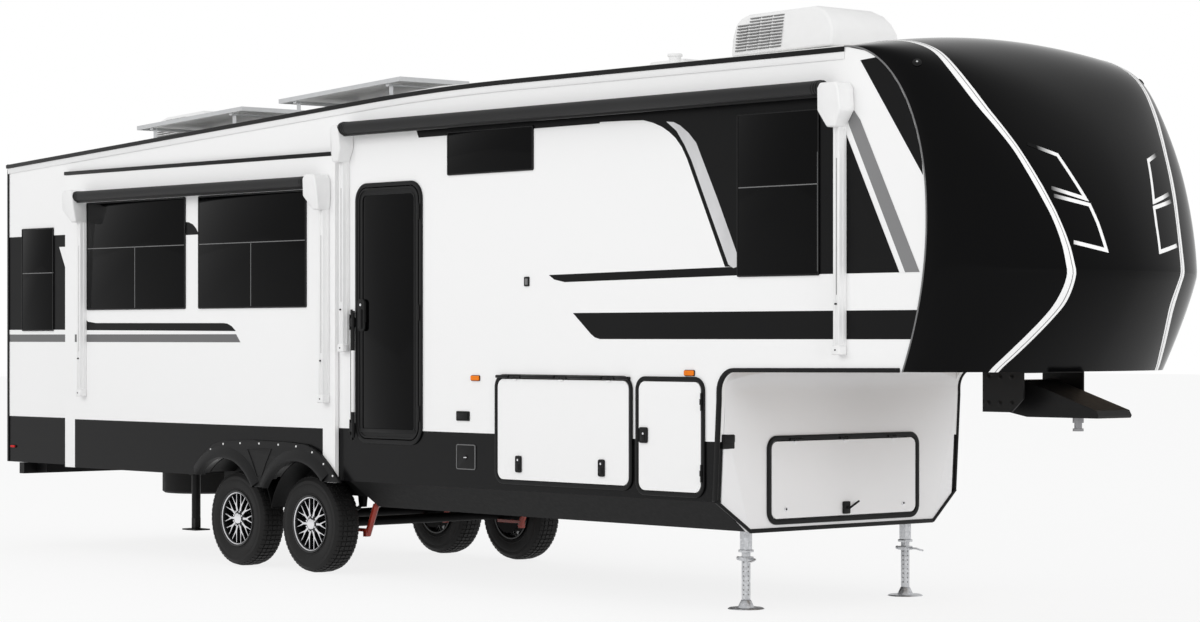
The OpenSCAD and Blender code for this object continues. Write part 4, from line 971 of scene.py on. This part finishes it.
def awning(a):
    parts = []
    roll = rod((a["heads"][0][1] - 0.02, a["rollZ"], 0.1), (a["heads"][1][0] + 0.02, a["rollZ"], 0.1), a["roll"], 48)
    collars = []
    for x, s in ((a["heads"][0][1], 1), (a["heads"][1][0], -1)):
        for k in range(3):
            spot = x + s * (0.006 + 0.022 * k)
            collars.append(dress(rod((spot - 0.006, a["rollZ"], 0.1), (spot + 0.006, a["rollZ"], 0.1),
                                     a["roll"] + 0.003 - 0.001 * k, 40, 0.001), trimBlack))
    lip = block((a["heads"][0][1] + 0.01, a["rollZ"] - a["roll"] - 0.012, 0.085),
                (a["heads"][1][0] - 0.01, a["rollZ"] - a["roll"] + 0.010, 0.115), 0.005, 3)
    roller = [dress(roll, fabric), dress(lip, trimBlack)] + collars
    for (x0, x1), armX in zip(a["heads"], a["arms"]):
        half = awnings["armWide"] / 2
        low, high = a["head"][0] - 0.04, a["head"][1]
        parts.append(dress(awningHead(x0, x1, low, high, armX, awnings["armWide"], awnings["deep"]), whitePlastic))
        shape = [(armX - half, 0.0003), (armX + half, 0.0003), (armX + half, 0.030), (armX + half - 0.006, 0.034),
                 (armX + half - 0.006, 0.060), (armX + half - 0.012, 0.066), (armX + 0.010, 0.066),
                 (armX + 0.006, 0.058), (armX - 0.006, 0.058), (armX - 0.010, 0.066), (armX - half + 0.012, 0.066),
                 (armX - half + 0.006, 0.060), (armX - half + 0.006, 0.034), (armX - half, 0.030)]
        arm = plate(shape, low + 0.03 - a["foot"], 0, 0.0015, 1)
        arm.data.transform(Matrix(((1, 0, 0, 0), (0, 0, 1, a["foot"]), (0, 1, 0, 0), (0, 0, 0, 1))))
        arm.data.flip_normals()
        parts.append(dress(arm, whitePlastic))
        foot = block((armX - half - 0.004, a["foot"] - 0.012, 0.0003), (armX + half + 0.004, a["foot"] + 0.050, 0.072),
                     0.008, 3)
        parts.append(dress(foot, whitePlastic))
        for z in (a["foot"] + 0.020, a["foot"] + 0.32):
            parts.append(dress(rod((armX, z, 0.060), (armX, z, 0.0745), 0.006, 12), trimBlack))
        # a dark strip along the floor of the arm's groove: painted shade
        slot = block((armX - 0.0025, a["foot"] + 0.38, 0.057), (armX + 0.0025, low - 0.20, 0.0595))
        parts.append(dress(slot, slotShadeGrey))
    return roller, parts


roller, arms = awning(awnings["main"])
finish(onSide(join(roller), "curb", wallFace), "awningRoll", "trailer", None, ["awning_roller"])
finish(onSide(join(arms), "curb", wallFace), "awningArms", "trailer", None, ["awning_arms"])
roller, arms = awning(awnings["slide"])
finish(onSide(join(roller + arms), "curb", slideFace), "slideAwning", "slide_curb", None,
       ["slide_awning"])
print("awnings fitted")

# roof: two air conditioners, vents and a pipe
roofShape = {"slope": math.radians(3.02), "crown": 0.050, "units": ((3.050, 1.000, 0.700, 0.330), (-4.450, 0.900, 0.700, 0.300)),
             "vents": (-5.300, -0.900, 1.700), "pipe": (2.150, -0.520)}
r = roofShape
ridge = math.atan((capShape["crown"] - r["crown"]) / (capShape["topX"] - m["bendX"]))


def roofEdge(x):
    return m["roofZ"] if x > m["bendX"] else m["rearZ"] + (x - rearBack) * math.tan(r["slope"])


rearBack = -rearFace


def crownAt(x):
    share = max(0.0, (x - m["bendX"]) / (capShape["topX"] - m["bendX"]))
    return r["crown"] + (capShape["crown"] - r["crown"]) * share


def onRoof(obj, x, y=0.0, under=0.0):
    obj.data.transform(Matrix.Translation((x, y, roofEdge(x) + crownAt(x) * (1 - (under / wallFace) ** 2) + 0.001))
                       @ Matrix.Rotation(-(r["slope"] if x < m["bendX"] else ridge), 4, "Y"))
    return obj


def airUnit(long, wide, high):
    half = long / 2
    profile = [(-half, 0.03), (half, 0.03), (half, high * 0.45), (half - 0.04, high * 0.68), (half - 0.10, high * 0.86),
               (half - 0.20, high), (-half + 0.13, high), (-half + 0.06, high * 0.93), (-half + 0.02, high * 0.80),
               (-half, high * 0.5)]
    shroud = plate(profile, wide, -wide / 2)
    for vertex in shroud.data.vertices:
        vertex.co.z *= 1 - 0.16 * (vertex.co.y / high) ** 2
    soften(shroud, 0.022, 4)
    parts = [dress(shroud, whitePlastic),
             dress(block((-half + 0.03, 0, -wide / 2 + 0.03), (half - 0.03, 0.034, wide / 2 - 0.03), 0.006, 2), moulded)]
    low, top, start, step = 0.070, high - 0.035, -half + 0.05, long * 0.105
    lean = 0.16 * 2 * wide / 2 * 0.55 / high
    for side in (-1, 1):
        def out(h):
            return side * wide / 2 * (1 - 0.16 * (h / high) ** 2)
        for c in range(4):
            x0 = start + c * (step + 0.012)
            for n in range(11):
                h = low + (top - low) * n / 10
                if x0 < -half + 0.06 and h > high * 0.80:
                    continue
                # the grey band under each lip stands for the louvre opening: painted shade
                slot = block((x0, h - 0.0055, -0.006), (x0 + step, h + 0.0055, 0.006), 0.003, 1)
                slot.data.transform(Matrix.Translation((0, 0, out(h) + side * 0.0015)))
                parts.append(dress(slot, slotShadeGrey))
                lip = block((x0 - 0.002, h + 0.004, -0.008), (x0 + step + 0.002, h + 0.0095, 0.008), 0.002, 1)
                lip.data.transform(Matrix.Translation((0, 0, out(h + 0.006) + side * 0.002)))
                parts.append(dress(lip, whitePlastic))
    # dark bars across the front face for the intake openings: painted shade
    for n in range(6):
        h = 0.06 + 0.018 * n
        parts.append(dress(block((-half - 0.003, h, -wide * 0.36), (-half + 0.01, h + 0.009, wide * 0.36), 0.002, 1), slotShadeGrey))
    whole = join(parts)
    whole.data.transform(sides["curb"])
    return whole


units = [onRoof(airUnit(u[1], u[2], u[3]), u[0]) for u in r["units"]]
for x in r["vents"]:
    base = dress(block((-0.20, -0.20, 0), (0.20, 0.20, 0.022), 0.008, 2), whitePlastic)
    neck = dress(block((-0.17, -0.17, 0.015), (0.17, 0.17, 0.05), 0.01, 2), whitePlastic)
    lid = dress(block((-0.19, -0.19, 0.046), (0.19, 0.19, 0.090), 0.026, 5), whitePlastic)
    units.append(onRoof(join([base, neck, lid]), x))
pipe = join([rod((0, 0, 0), (0, 0, 0.07), 0.045, 40), rod((0, 0, 0.068), (0, 0, 0.09), 0.055, 40, 0.006),
             rod((0, 0, 0), (0, 0, 0.012), 0.075, 40, 0.004)])
units.append(onRoof(dress(pipe, whitePlastic), r["pipe"][0], r["pipe"][1], 0.46))
finish(join(units), "roofUnits", "trailer", None, ["roof_units"])

# solar panels on low feet
solar = {"rise": 0.100, "thick": 0.035, "table": ((-1.005, -0.855, 1.590, 0.690), (-3.092, -0.855, 1.555, 0.690))}
panels = []
for x, y, long, wide in solar["table"]:
    box = (-long / 2, y - wide / 2, long / 2, y + wide / 2)
    square = [(box[0], box[1]), (box[2], box[1]), (box[2], box[3]), (box[0], box[3])]
    parts = [dress(ring(square, 0.014, solar["thick"], 0, 0.001, 1), panelAlloy),
             dress(plate([(p[0] * 0.985, y + (p[1] - y) * 0.965) for p in square], 0.006, solar["thick"] - 0.0085), solarGlass),
             dress(plate([(p[0] * 0.985, y + (p[1] - y) * 0.965) for p in square], 0.004, solar["thick"] - 0.013), whitePlastic)]
    for sx in (-1, 1):
        railX = sx * (long / 2 - 0.190)
        parts.append(dress(block((railX - 0.02, box[1] + 0.02, -0.018), (railX + 0.02, box[3] - 0.02, 0.0), 0.003, 1), panelAlloy))
        for sy in (-1, 1):
            footY = y + sy * (wide / 2 - 0.06)
            reach = solar["rise"] - 0.050 * (1 - ((abs(footY) - 0.02) / wallFace) ** 2) - 0.001
            parts += [dress(block((railX - 0.025, footY - 0.002, -reach), (railX + 0.025, footY + 0.002, 0.0), 0.001, 1), panelAlloy),
                      dress(block((railX - 0.025, footY - 0.03, -reach), (railX + 0.025, footY + 0.03, -reach + 0.004), 0.001, 1),
                            panelAlloy)]
    panel = join(parts)
    panel.data.transform(Matrix.Translation((x, 0, roofEdge(x) + solar["rise"])) @ Matrix.Rotation(-r["slope"], 4, "Y"))
    panels.append(panel)
finish(join(panels), "solarPanels", "trailer", None, ["solar_panels"])
print("roof fitted")

# fenders: a plate with two flared arches, a pressed shield between them and rivets
fender = {"plate": 0.034, "flare": 0.060, "arch": 0.504, "mid": -1.935, "half": 0.505, "axle": 0.391, "rivet": 0.0085}
f = fender
arches = [(f["mid"] + s * f["half"], f["axle"]) for s in (1, -1)]
outline = [(-2.860, 0.749), (-2.815, 0.815), (-2.726, 0.918), (-2.66, 0.965), (-2.590, 1.000), (-2.52, 1.020),
           (-2.440, 1.033), (-2.070, 1.049), (-1.545, 1.044), (-1.319, 1.032), (-1.210, 1.003), (-1.116, 0.958),
           (-1.02, 0.885), (-0.856, 0.744)]
body = outline[::-1] + arc(*arches[1], f["arch"], 135.6, 33.7, 30) + arc(*arches[0], f["arch"], 146.3, 44.4, 30)
fenderParts = [plate(body, f["plate"], 0.0003, 0.007, 3)]
flareLine = [(0.604, 0.028), (0.590, 0.040), (0.566, 0.050), (0.540, 0.058), (0.520, 0.060), (0.508, 0.056), (0.503, 0.046),
             (0.503, 0.004)]
for (cx, cz), (a0, a1) in zip(arches, ((44.4, 147.0), (33.0, 135.6))):
    flare = gridSheet(60, len(flareLine) - 1, lambda i, j: (
        cx + flareLine[j][0] * math.cos(math.radians(a0 + (a1 - a0) * i / 60)),
        cz + flareLine[j][0] * math.sin(math.radians(a0 + (a1 - a0) * i / 60)), flareLine[j][1]), True)
    fenderParts.append(modify(flare, "SOLIDIFY", thickness=0.004, offset=-1))
shield = [(f["mid"] - 0.175, 0.985), (f["mid"] + 0.175, 0.985), (f["mid"] + 0.10, 0.87), (f["mid"] + 0.03, 0.745),
          (f["mid"] - 0.03, 0.745), (f["mid"] - 0.10, 0.87)]
fenderParts.append(move(ring(shield[::-1], 0.010, 0.008, 0, 0.003, 2), (0, 0, f["plate"] - 0.002)))
fenderBody = dress(join(fenderParts), moulded)
rivets = []
for x, z in ((-2.775, 0.822), (-2.62, 0.957), (-2.44, 1.008), (-2.20, 1.020), (-1.935, 1.024), (-1.67, 1.021),
             (-1.43, 1.014), (-1.215, 0.973), (-1.065, 0.885), (-0.945, 0.795)):
    rivets.append(dress(rod((x, z, f["plate"] - 0.002), (x, z, f["plate"] + 0.004), f["rivet"], 16, 0.002), whitePlastic))
fenderCurb = onSide(join([fenderBody] + rivets), "curb", slideFace)
fenderRoad = twin(fenderCurb, mirrorY)
finish(fenderCurb, "fenderCurb", "slide_curb", None, ["slide_fender_curb"])
finish(fenderRoad, "fenderRoad", "slide_road", None, ["slide_fender_road"])
print("fenders fitted")

# dark wheel wells behind the fenders
well = {"y": (0.921, 0.925), "radius": 0.518, "outer": 1.172}
w = well
liner = [dress(onSide(plate([(-2.96, 0.62), (-0.90, 0.62), (-0.60, 0.56), (-0.60, 0.985), (-2.96, 0.985)], w["y"][1] - w["y"][0]),
                      "curb", w["y"][0]), moulded)]
for (cx, cz), (a0, a1) in zip(arches, ((46.0, 168.0), (12.0, 134.0))):
    band = gridSheet(36, 1, lambda i, j: (cx + w["radius"] * math.cos(math.radians(a0 + (a1 - a0) * i / 36)),
                                          -(w["y"][1] if j == 0 else w["outer"]),
                                          cz + w["radius"] * math.sin(math.radians(a0 + (a1 - a0) * i / 36))))
    liner.append(dress(modify(band, "SOLIDIFY", thickness=0.003, offset=0), moulded))
finish(both(liner), "wheelWells", "trailer")

# tyre, turned once about its axle, with five rows of tread blocks
tyre = {"blocks": 58, "rows": ((-0.0985, -0.066, 0.3825, 5), (-0.060, -0.025, 0.3880, -9), (-0.019, 0.019, 0.3895, 9),
                               (0.025, 0.060, 0.3880, -9), (0.066, 0.0985, 0.3825, 5)), "centreY": 1.0525,
        "axles": {"front": -1.430, "rear": -2.440}, "z": 0.391}
half = [(0.205, 0.088), (0.214, 0.100), (0.228, 0.106), (0.240, 0.1085), (0.2445, 0.1115), (0.249, 0.109), (0.275, 0.1155),
        (0.300, 0.1172), (0.318, 0.1175), (0.322, 0.1160), (0.326, 0.1175), (0.340, 0.1155), (0.345, 0.1165), (0.350, 0.1130),
        (0.362, 0.1060), (0.371, 0.0985), (0.377, 0.088), (0.3795, 0.066), (0.3815, 0.03)]
rubberRing = lathe(half + [(q[0], -q[1]) for q in half[::-1]], 120)
tread = []
for low, high, radius, skew in tyre["rows"]:
    lug = block((-0.0155, -0.012, low), (0.0155, 0.0, high), 0.0018, 1)
    lug.data.transform(Matrix.Translation((0, 0, (low + high) / 2)) @ Matrix.Rotation(math.radians(skew), 4, "Y")
                       @ Matrix.Translation((0, 0, -(low + high) / 2)))
    if abs(low) > 0.06 and abs(high) > 0.06:
        lug.data.transform(Matrix.Translation((0, 0.0015, 0)))
        for vertex in lug.data.vertices:
            if abs(vertex.co.z) > 0.09:
                vertex.co.y -= 0.0065
    tread.append(move(lug, (0, radius + 0.0005, 0)))
treadRow = join(tread)
treadRow.data.transform(Matrix.Rotation(math.radians(-90), 4, "X"))
treadRow.data.transform(Matrix.Rotation(math.radians(180), 4, "X"))
lugs = [treadRow] + [twin(treadRow, Matrix.Rotation(2 * math.pi * k / tyre["blocks"], 4, "Y")) for k in range(1, tyre["blocks"])]
tyreModel = dress(join([rubberRing] + lugs), rubber)

# rim: a barrel, ten split spokes with machined faces, cap and wheel nuts (outer side at +Y here)
rim = {"spokes": 10, "nuts": 8, "nutRing": 0.060}
barrel = [(0.2035, 0.094), (0.2200, 0.1040), (0.2200, 0.1060), (0.2100, 0.1010), (0.2070, 0.095), (0.2030, 0.085), (0.1985, 0.04),
          (0.182, 0.0), (0.186, -0.07), (0.199, -0.105), (0.2145, -0.112), (0.2145, -0.118), (0.2035, -0.118), (0.2035, -0.10)]
lipRing = [(0.2310, 0.1095), (0.2300, 0.1125), (0.2240, 0.1135), (0.2180, 0.1115), (0.2080, 0.1040), (0.2060, 0.0985), (0.2080, 0.0965), (0.2200, 0.1050)]
dish = [(0.0, 0.018), (0.110, 0.018), (0.150, 0.006), (0.184, 0.0), (0.184, -0.006), (0.150, 0.0), (0.110, 0.010), (0.0, 0.010)]
rimParts = [dress(lathe(barrel, 96), darkAlloy), dress(lathe(lipRing, 96), darkAlloy),
            dress(lathe([(0.2085, 0.1030), (0.2115, 0.1055), (0.2135, 0.1090), (0.2100, 0.1075), (0.2070, 0.1045)], 96), brightAlloy),
            dress(lathe([(0.0, 0.060), (0.060, 0.060), (0.074, 0.072), (0.076, 0.086), (0.070, 0.0895), (0.047, 0.0895), (0.045, 0.082),
                         (0.0, 0.082)], 64), darkAlloy),
            dress(lathe([(0.0, -0.02), (0.150, -0.02), (0.150, -0.03), (0.0, -0.03)], 48), moulded),
            dress(lathe([(0.0, 0.080), (0.045, 0.080), (0.0455, 0.098), (0.041, 0.1045), (0.024, 0.1065), (0.0, 0.1070)], 48), chrome)]


def spoke(grow, depth, base):
    g = grow
    return plate([(0.060, 0.0135 + g), (0.060, -0.0135 - g), (0.105, -0.0120 - g), (0.150, -0.0255 - g), (0.2070, -0.0430 - g),
                  (0.2090, -0.0300 + g), (0.155, -0.0130 + g), (0.122, 0.0), (0.155, 0.0130 - g), (0.2090, 0.0300 - g),
                  (0.2070, 0.0430 + g), (0.150, 0.0255 + g), (0.105, 0.0120 + g)][::-1], depth, base, 0.0012, 1)


spokeSet = join([dress(spoke(0.0, 0.034, 0.055), darkAlloy), dress(spoke(-0.0036, 0.0022, 0.0885), brightAlloy)])
spokeSet.data.transform(Matrix.Rotation(math.radians(-90), 4, "X"))
rimParts += [spokeSet] + [twin(spokeSet, Matrix.Rotation(2 * math.pi * k / rim["spokes"], 4, "Y")) for k in range(1, rim["spokes"])]
for k in range(rim["nuts"]):
    a = 2 * math.pi * (k + 0.5) / rim["nuts"]
    x, z = rim["nutRing"] * math.cos(a), rim["nutRing"] * math.sin(a)
    rimParts.append(dress(rod((x, 0.085, z), (x, 0.101, z), 0.0085, 6, 0.001), chrome))
rimModel = join(rimParts)
# the model's outer side faces +Y, so the curb wheels are turned half round
for model, name, slotName, node in ((tyreModel, "tyre", "tyre", "tyre_"), (rimModel, "rim", "alloy", "rim_")):
    for axleName, x in tyre["axles"].items():
        for sideName, s in (("curb", -1), ("road", 1)):
            place = Matrix.Translation((x, s * tyre["centreY"], tyre["z"]))
            if s < 0:
                place = place @ Matrix.Rotation(math.pi, 4, "Z")
            key = axleName + "_" + sideName
            finish(twin(model, place), name + axleName.title() + sideName.title(), "wheel_" + key, None, [node + key])
    bpy.data.objects.remove(model)
print("wheels fitted")

# lamps: a lens on a dark base
lamps = {"side": ((0.729, 1.579), (3.043, 1.637)), "cap": (69.6, 3.631), "tail": (1.065, 1.275), "rearSide": (-5.855, 0.896)}


def sideLamp(x, z, lens, wide=0.052, high=0.022):
    base = dress(plate(roundBox((x - wide, z - high, x + wide, z + high), 0.010, 0, 5), 0.006, 0.0003, 0.002), moulded)
    dome = dress(plate(roundBox((x - wide, z - high, x + wide, z + high), 0.012, -0.004, 5), 0.013, 0.004, 0.005, 3), lens)
    return onSide(join([base, dome]), "curb", wallFace)


finish(both([sideLamp(x, z, amber) for x, z in lamps["side"]]), "markerLamps", "trailer", None, ["marker_lamps"])
tailY, tailZ = lamps["tail"]
tail = []
for z0, z1, lens in ((tailZ + 0.010, tailZ + 0.120, redLens), (tailZ - 0.120, tailZ - 0.005, redLens)):
    tail.append(dress(plate(roundBox((tailY - 0.047, z0, tailY + 0.047, z1), 0.022), 0.020, 0.003, 0.005, 3), lens))
tail.append(dress(plate(roundBox((tailY - 0.055, tailZ - 0.125, tailY + 0.055, tailZ + 0.125), 0.030), 0.012, 0.0003, 0.004, 2), moulded))
tail = [onSide(part, "rear", rearFace) for part in tail]
tail.append(sideLamp(*lamps["rearSide"], redLens, 0.040, 0.014))
finish(both(tail), "tailLamps", "trailer", None, ["tail_lamps"])
turnA, capZ = lamps["cap"]
spot, way = capPoint(capZ, -turnA, 0.0), capNormal(capZ, -turnA)
capLamp = join([dress(rod(spot - way * 0.002, spot + way * 0.007, 0.030, 32, 0.003), moulded),
                dress(rod(spot + way * 0.005, spot + way * 0.012, 0.022, 32, 0.004), frameBlack),
                dress(rod(spot + way * 0.011, spot + way * 0.0135, 0.007, 20, 0.001), panelAlloy)])
finish(both([capLamp]), "capLamps", "trailer")

# hatches and small fittings on the sides
hatchTable = (((0.506, 0.894, 0.729, 1.082), 0.018), ((0.506, 1.258, 0.659, 1.330), 0.008), ((1.290, 2.255, 1.345, 2.325), 0.008))
hatches = []
for box, radius in hatchTable:
    hatches.append(dress(ring(roundBox(box, radius, 0, 6), 0.007, 0.009, 0.0003, 0.002), barGrey if radius == 0.018 else trimBlack))
    hatches.append(dress(plate(roundBox(box, radius, -0.006, 6), 0.006, 0.0003, 0.001), moulded))
hatches.append(dress(rod((0.617, 0.985, 0.004), (0.617, 0.985, 0.013), 0.017, 24, 0.002), frameBlack))
hatches.append(dress(block((0.600, 0.981, 0.010), (0.634, 0.989, 0.016), 0.002, 1), chrome))
hatches.append(dress(plate(roundBox((0.520, 1.270, 0.645, 1.318), 0.006), 0.008, 0.004, 0.003), trimBlack))
hatches.append(dress(plate(roundBox((1.302, 2.266, 1.333, 2.312), 0.005), 0.008, 0.004, 0.003), barGrey))
rearBoxes = []
# dark slats on the rear vent plate for the gaps between its louvres: painted shade
for k in range(9):
    z = 1.285 + 0.034 * k
    rearBoxes.append(dress(block((-5.535, z, 0.004), (-5.285, z + 0.012, 0.010), 0.003, 1), slotShadeGrey))
rearBoxes.append(dress(plate(roundBox((-5.560, 1.250, -5.260, 1.600), 0.020), 0.007, 0.0003, 0.003), whitePlastic))
rearBoxes = onSide(join(rearBoxes), "curb", wallFace)
rearBoxes.data.transform(mirrorY)
rearBoxes.data.flip_normals()
finish(join([onSide(join(hatches), "curb", wallFace), rearBoxes]), "hatches", "trailer",
       None, ["hatches"])
socket = join([block((frontFace - 0.060, -1.19, 1.12), (frontFace + 0.004, -1.08, 1.22), 0.008, 3),
               block((frontFace - 0.002, -1.185, 1.165), (frontFace + 0.012, -1.085, 1.215), 0.006, 3)])
finish(socket, "frontSocket", "trailer", moulded)

# landing legs: square tubes, a drop tube with its pin holes, collar, handle and pad
legs = {"x": 3.180, "y": -0.8137, "tube": 0.031, "drop": 0.023, "collar": 0.039, "top": 0.7585}
l = legs
x, y = l["x"], l["y"]
legParts = [block((x - half, y - half, low), (x + half, y + half, high), 0.004, 3) for half, low, high in
            ((l["tube"], 0.400, l["top"]), (l["drop"], 0.060, 0.410), (l["collar"], 0.334, 0.362), (l["collar"], 0.392, 0.410))]
legParts += [rod((x, y, 0.0), (x, y, 0.010), 0.130, 48, 0.003, 0.118), rod((x, y, 0.008), (x, y, 0.062), 0.060, 40, 0.003, 0.034)]
legParts = [dress(part, galvanised) for part in legParts]
# the pin holes are dark grey rods through the drop tube, not real holes: painted shade
for k in range(8):
    z = 0.100 + 0.032 * k
    for axis in (0, 1):
        reach = Vector((l["drop"] + 0.0006, 0, 0)) if axis == 0 else Vector((0, l["drop"] + 0.0006, 0))
        legParts.append(dress(rod(Vector((x, y, z)) - reach, Vector((x, y, z)) + reach, 0.006, 16), slotShadeGrey))
pin = sweep([(x - 0.075, y, 0.347), (x + 0.085, y, 0.347), (x + 0.100, y - 0.010, 0.347), (x + 0.104, y - 0.030, 0.340),
             (x + 0.104, y - 0.075, 0.330)], 0.007, False, 3)
legParts.append(dress(pin, galvanised))
legParts.append(dress(rod((x - 0.085, y, 0.347), (x - 0.070, y, 0.347), 0.013, 20, 0.002), galvanised))
finish(both(legParts), "landingLegs", "trailer", None, ["landing_legs"])

# bolts with washers on the pin box
pinBolts = []
for px, pz in ((4.95, 1.62), (5.05, 1.62), (5.15, 1.62), (4.95, 1.45), (5.05, 1.45), (5.15, 1.45)):
    pinBolts.append(dress(rod((px, -0.312, pz), (px, -0.322, pz), 0.011, 6, 0.001), frameBlack))
    pinBolts.append(dress(rod((px, -0.312, pz), (px, -0.3145, pz), 0.017, 24, 0.0005), frameBlack))
finish(both(pinBolts), "pinBoxBolts", "trailer")
print("lamps, hatches and legs fitted")

# stage: pale floor, white surroundings, soft lamps and the camera
stage = {"floorSize": 220, "worldLevel": 0.80, "floorTone": 0.8, "shadowShare": 0.16, "lens": 91.0, "shiftY": 0.0220,
         "cameraPlace": (18.183, -15.594, 1.882), "cameraTurn": (90.0, 0.0, 48.185)}
s = stage
clearSelection()
bpy.ops.mesh.primitive_plane_add(size=s["floorSize"], location=(0, 0, -0.002))
floor = bpy.context.object
floor.name = "studioFloor"
floorPaint = Paint("studioFloor", (s["floorTone"],) * 3, 0.9, Specular_IOR_Level=0.0)
nodes_, links = floorPaint.tree.nodes, floorPaint.tree.links
path = nodes_.new("ShaderNodeLightPath")
seen = floorPaint.add("ShaderNodeMath", {"operation": "MAXIMUM"}, {0: Wire(floorPaint, path.outputs["Is Camera Ray"]),
                                                                  1: Wire(floorPaint, path.outputs["Is Glossy Ray"])})
glow = nodes_.new("ShaderNodeEmission")
glow.inputs["Color"].default_value = (1, 1, 1, 1)
glow.inputs["Strength"].default_value = 1.0
mix = nodes_.new("ShaderNodeMixShader")
links.new((seen * (1 - s["shadowShare"])).socket, mix.inputs[0])
links.new(floorPaint.shader.outputs[0], mix.inputs[1])
links.new(glow.outputs[0], mix.inputs[2])
links.new(mix.outputs[0], nodes_["Material Output"].inputs["Surface"])
dress(floor, floorPaint.material)

world = bpy.data.worlds.new("studioWorld")
bpy.context.scene.world = world
world.use_nodes = True
tree = world.node_tree
path = tree.nodes.new("ShaderNodeLightPath")
level = tree.nodes.new("ShaderNodeMix")
level.data_type = "RGBA"
tree.links.new(path.outputs["Is Camera Ray"], level.inputs[0])
level.inputs[6].default_value = (s["worldLevel"],) * 3 + (1,)
level.inputs[7].default_value = (1, 1, 1, 1)
tree.links.new(level.outputs[2], tree.nodes["Background"].inputs["Color"])
tree.nodes["Background"].inputs["Strength"].default_value = 1.0

lampTable = (("sideLamp", (-1.0, -17.0, 9.0), (-1.0, 0.0, 1.8), 14.0, 8.0, 720.0),
             ("frontLamp", (22.0, -3.0, 4.2), (3.4, 0.0, 1.2), 9.0, 7.0, 900.0))
for name, place, target, wide, high, power in lampTable:
    light = bpy.data.lights.new(name, "AREA")
    light.shape = "RECTANGLE"
    light.size, light.size_y, light.energy = wide, high, power
    holder = bpy.data.objects.new(name, light)
    bpy.context.scene.collection.objects.link(holder)
    holder.location = place
    holder.visible_glossy = False
    holder.rotation_euler = (Vector(target) - Vector(place)).to_track_quat("-Z", "Y").to_euler()

lens = bpy.data.cameras.new("photoCamera")
lens.lens, lens.sensor_width, lens.shift_y = s["lens"], 36.0, s["shiftY"]
lens.clip_end = 400.0
camera = bpy.data.objects.new("photoCamera", lens)
bpy.context.scene.collection.objects.link(camera)
camera.location = s["cameraPlace"]
camera.rotation_euler = tuple(math.radians(v) for v in s["cameraTurn"])
bpy.context.scene.camera = camera
bpy.context.scene.view_settings.view_transform = "Standard"
print("stage lit")
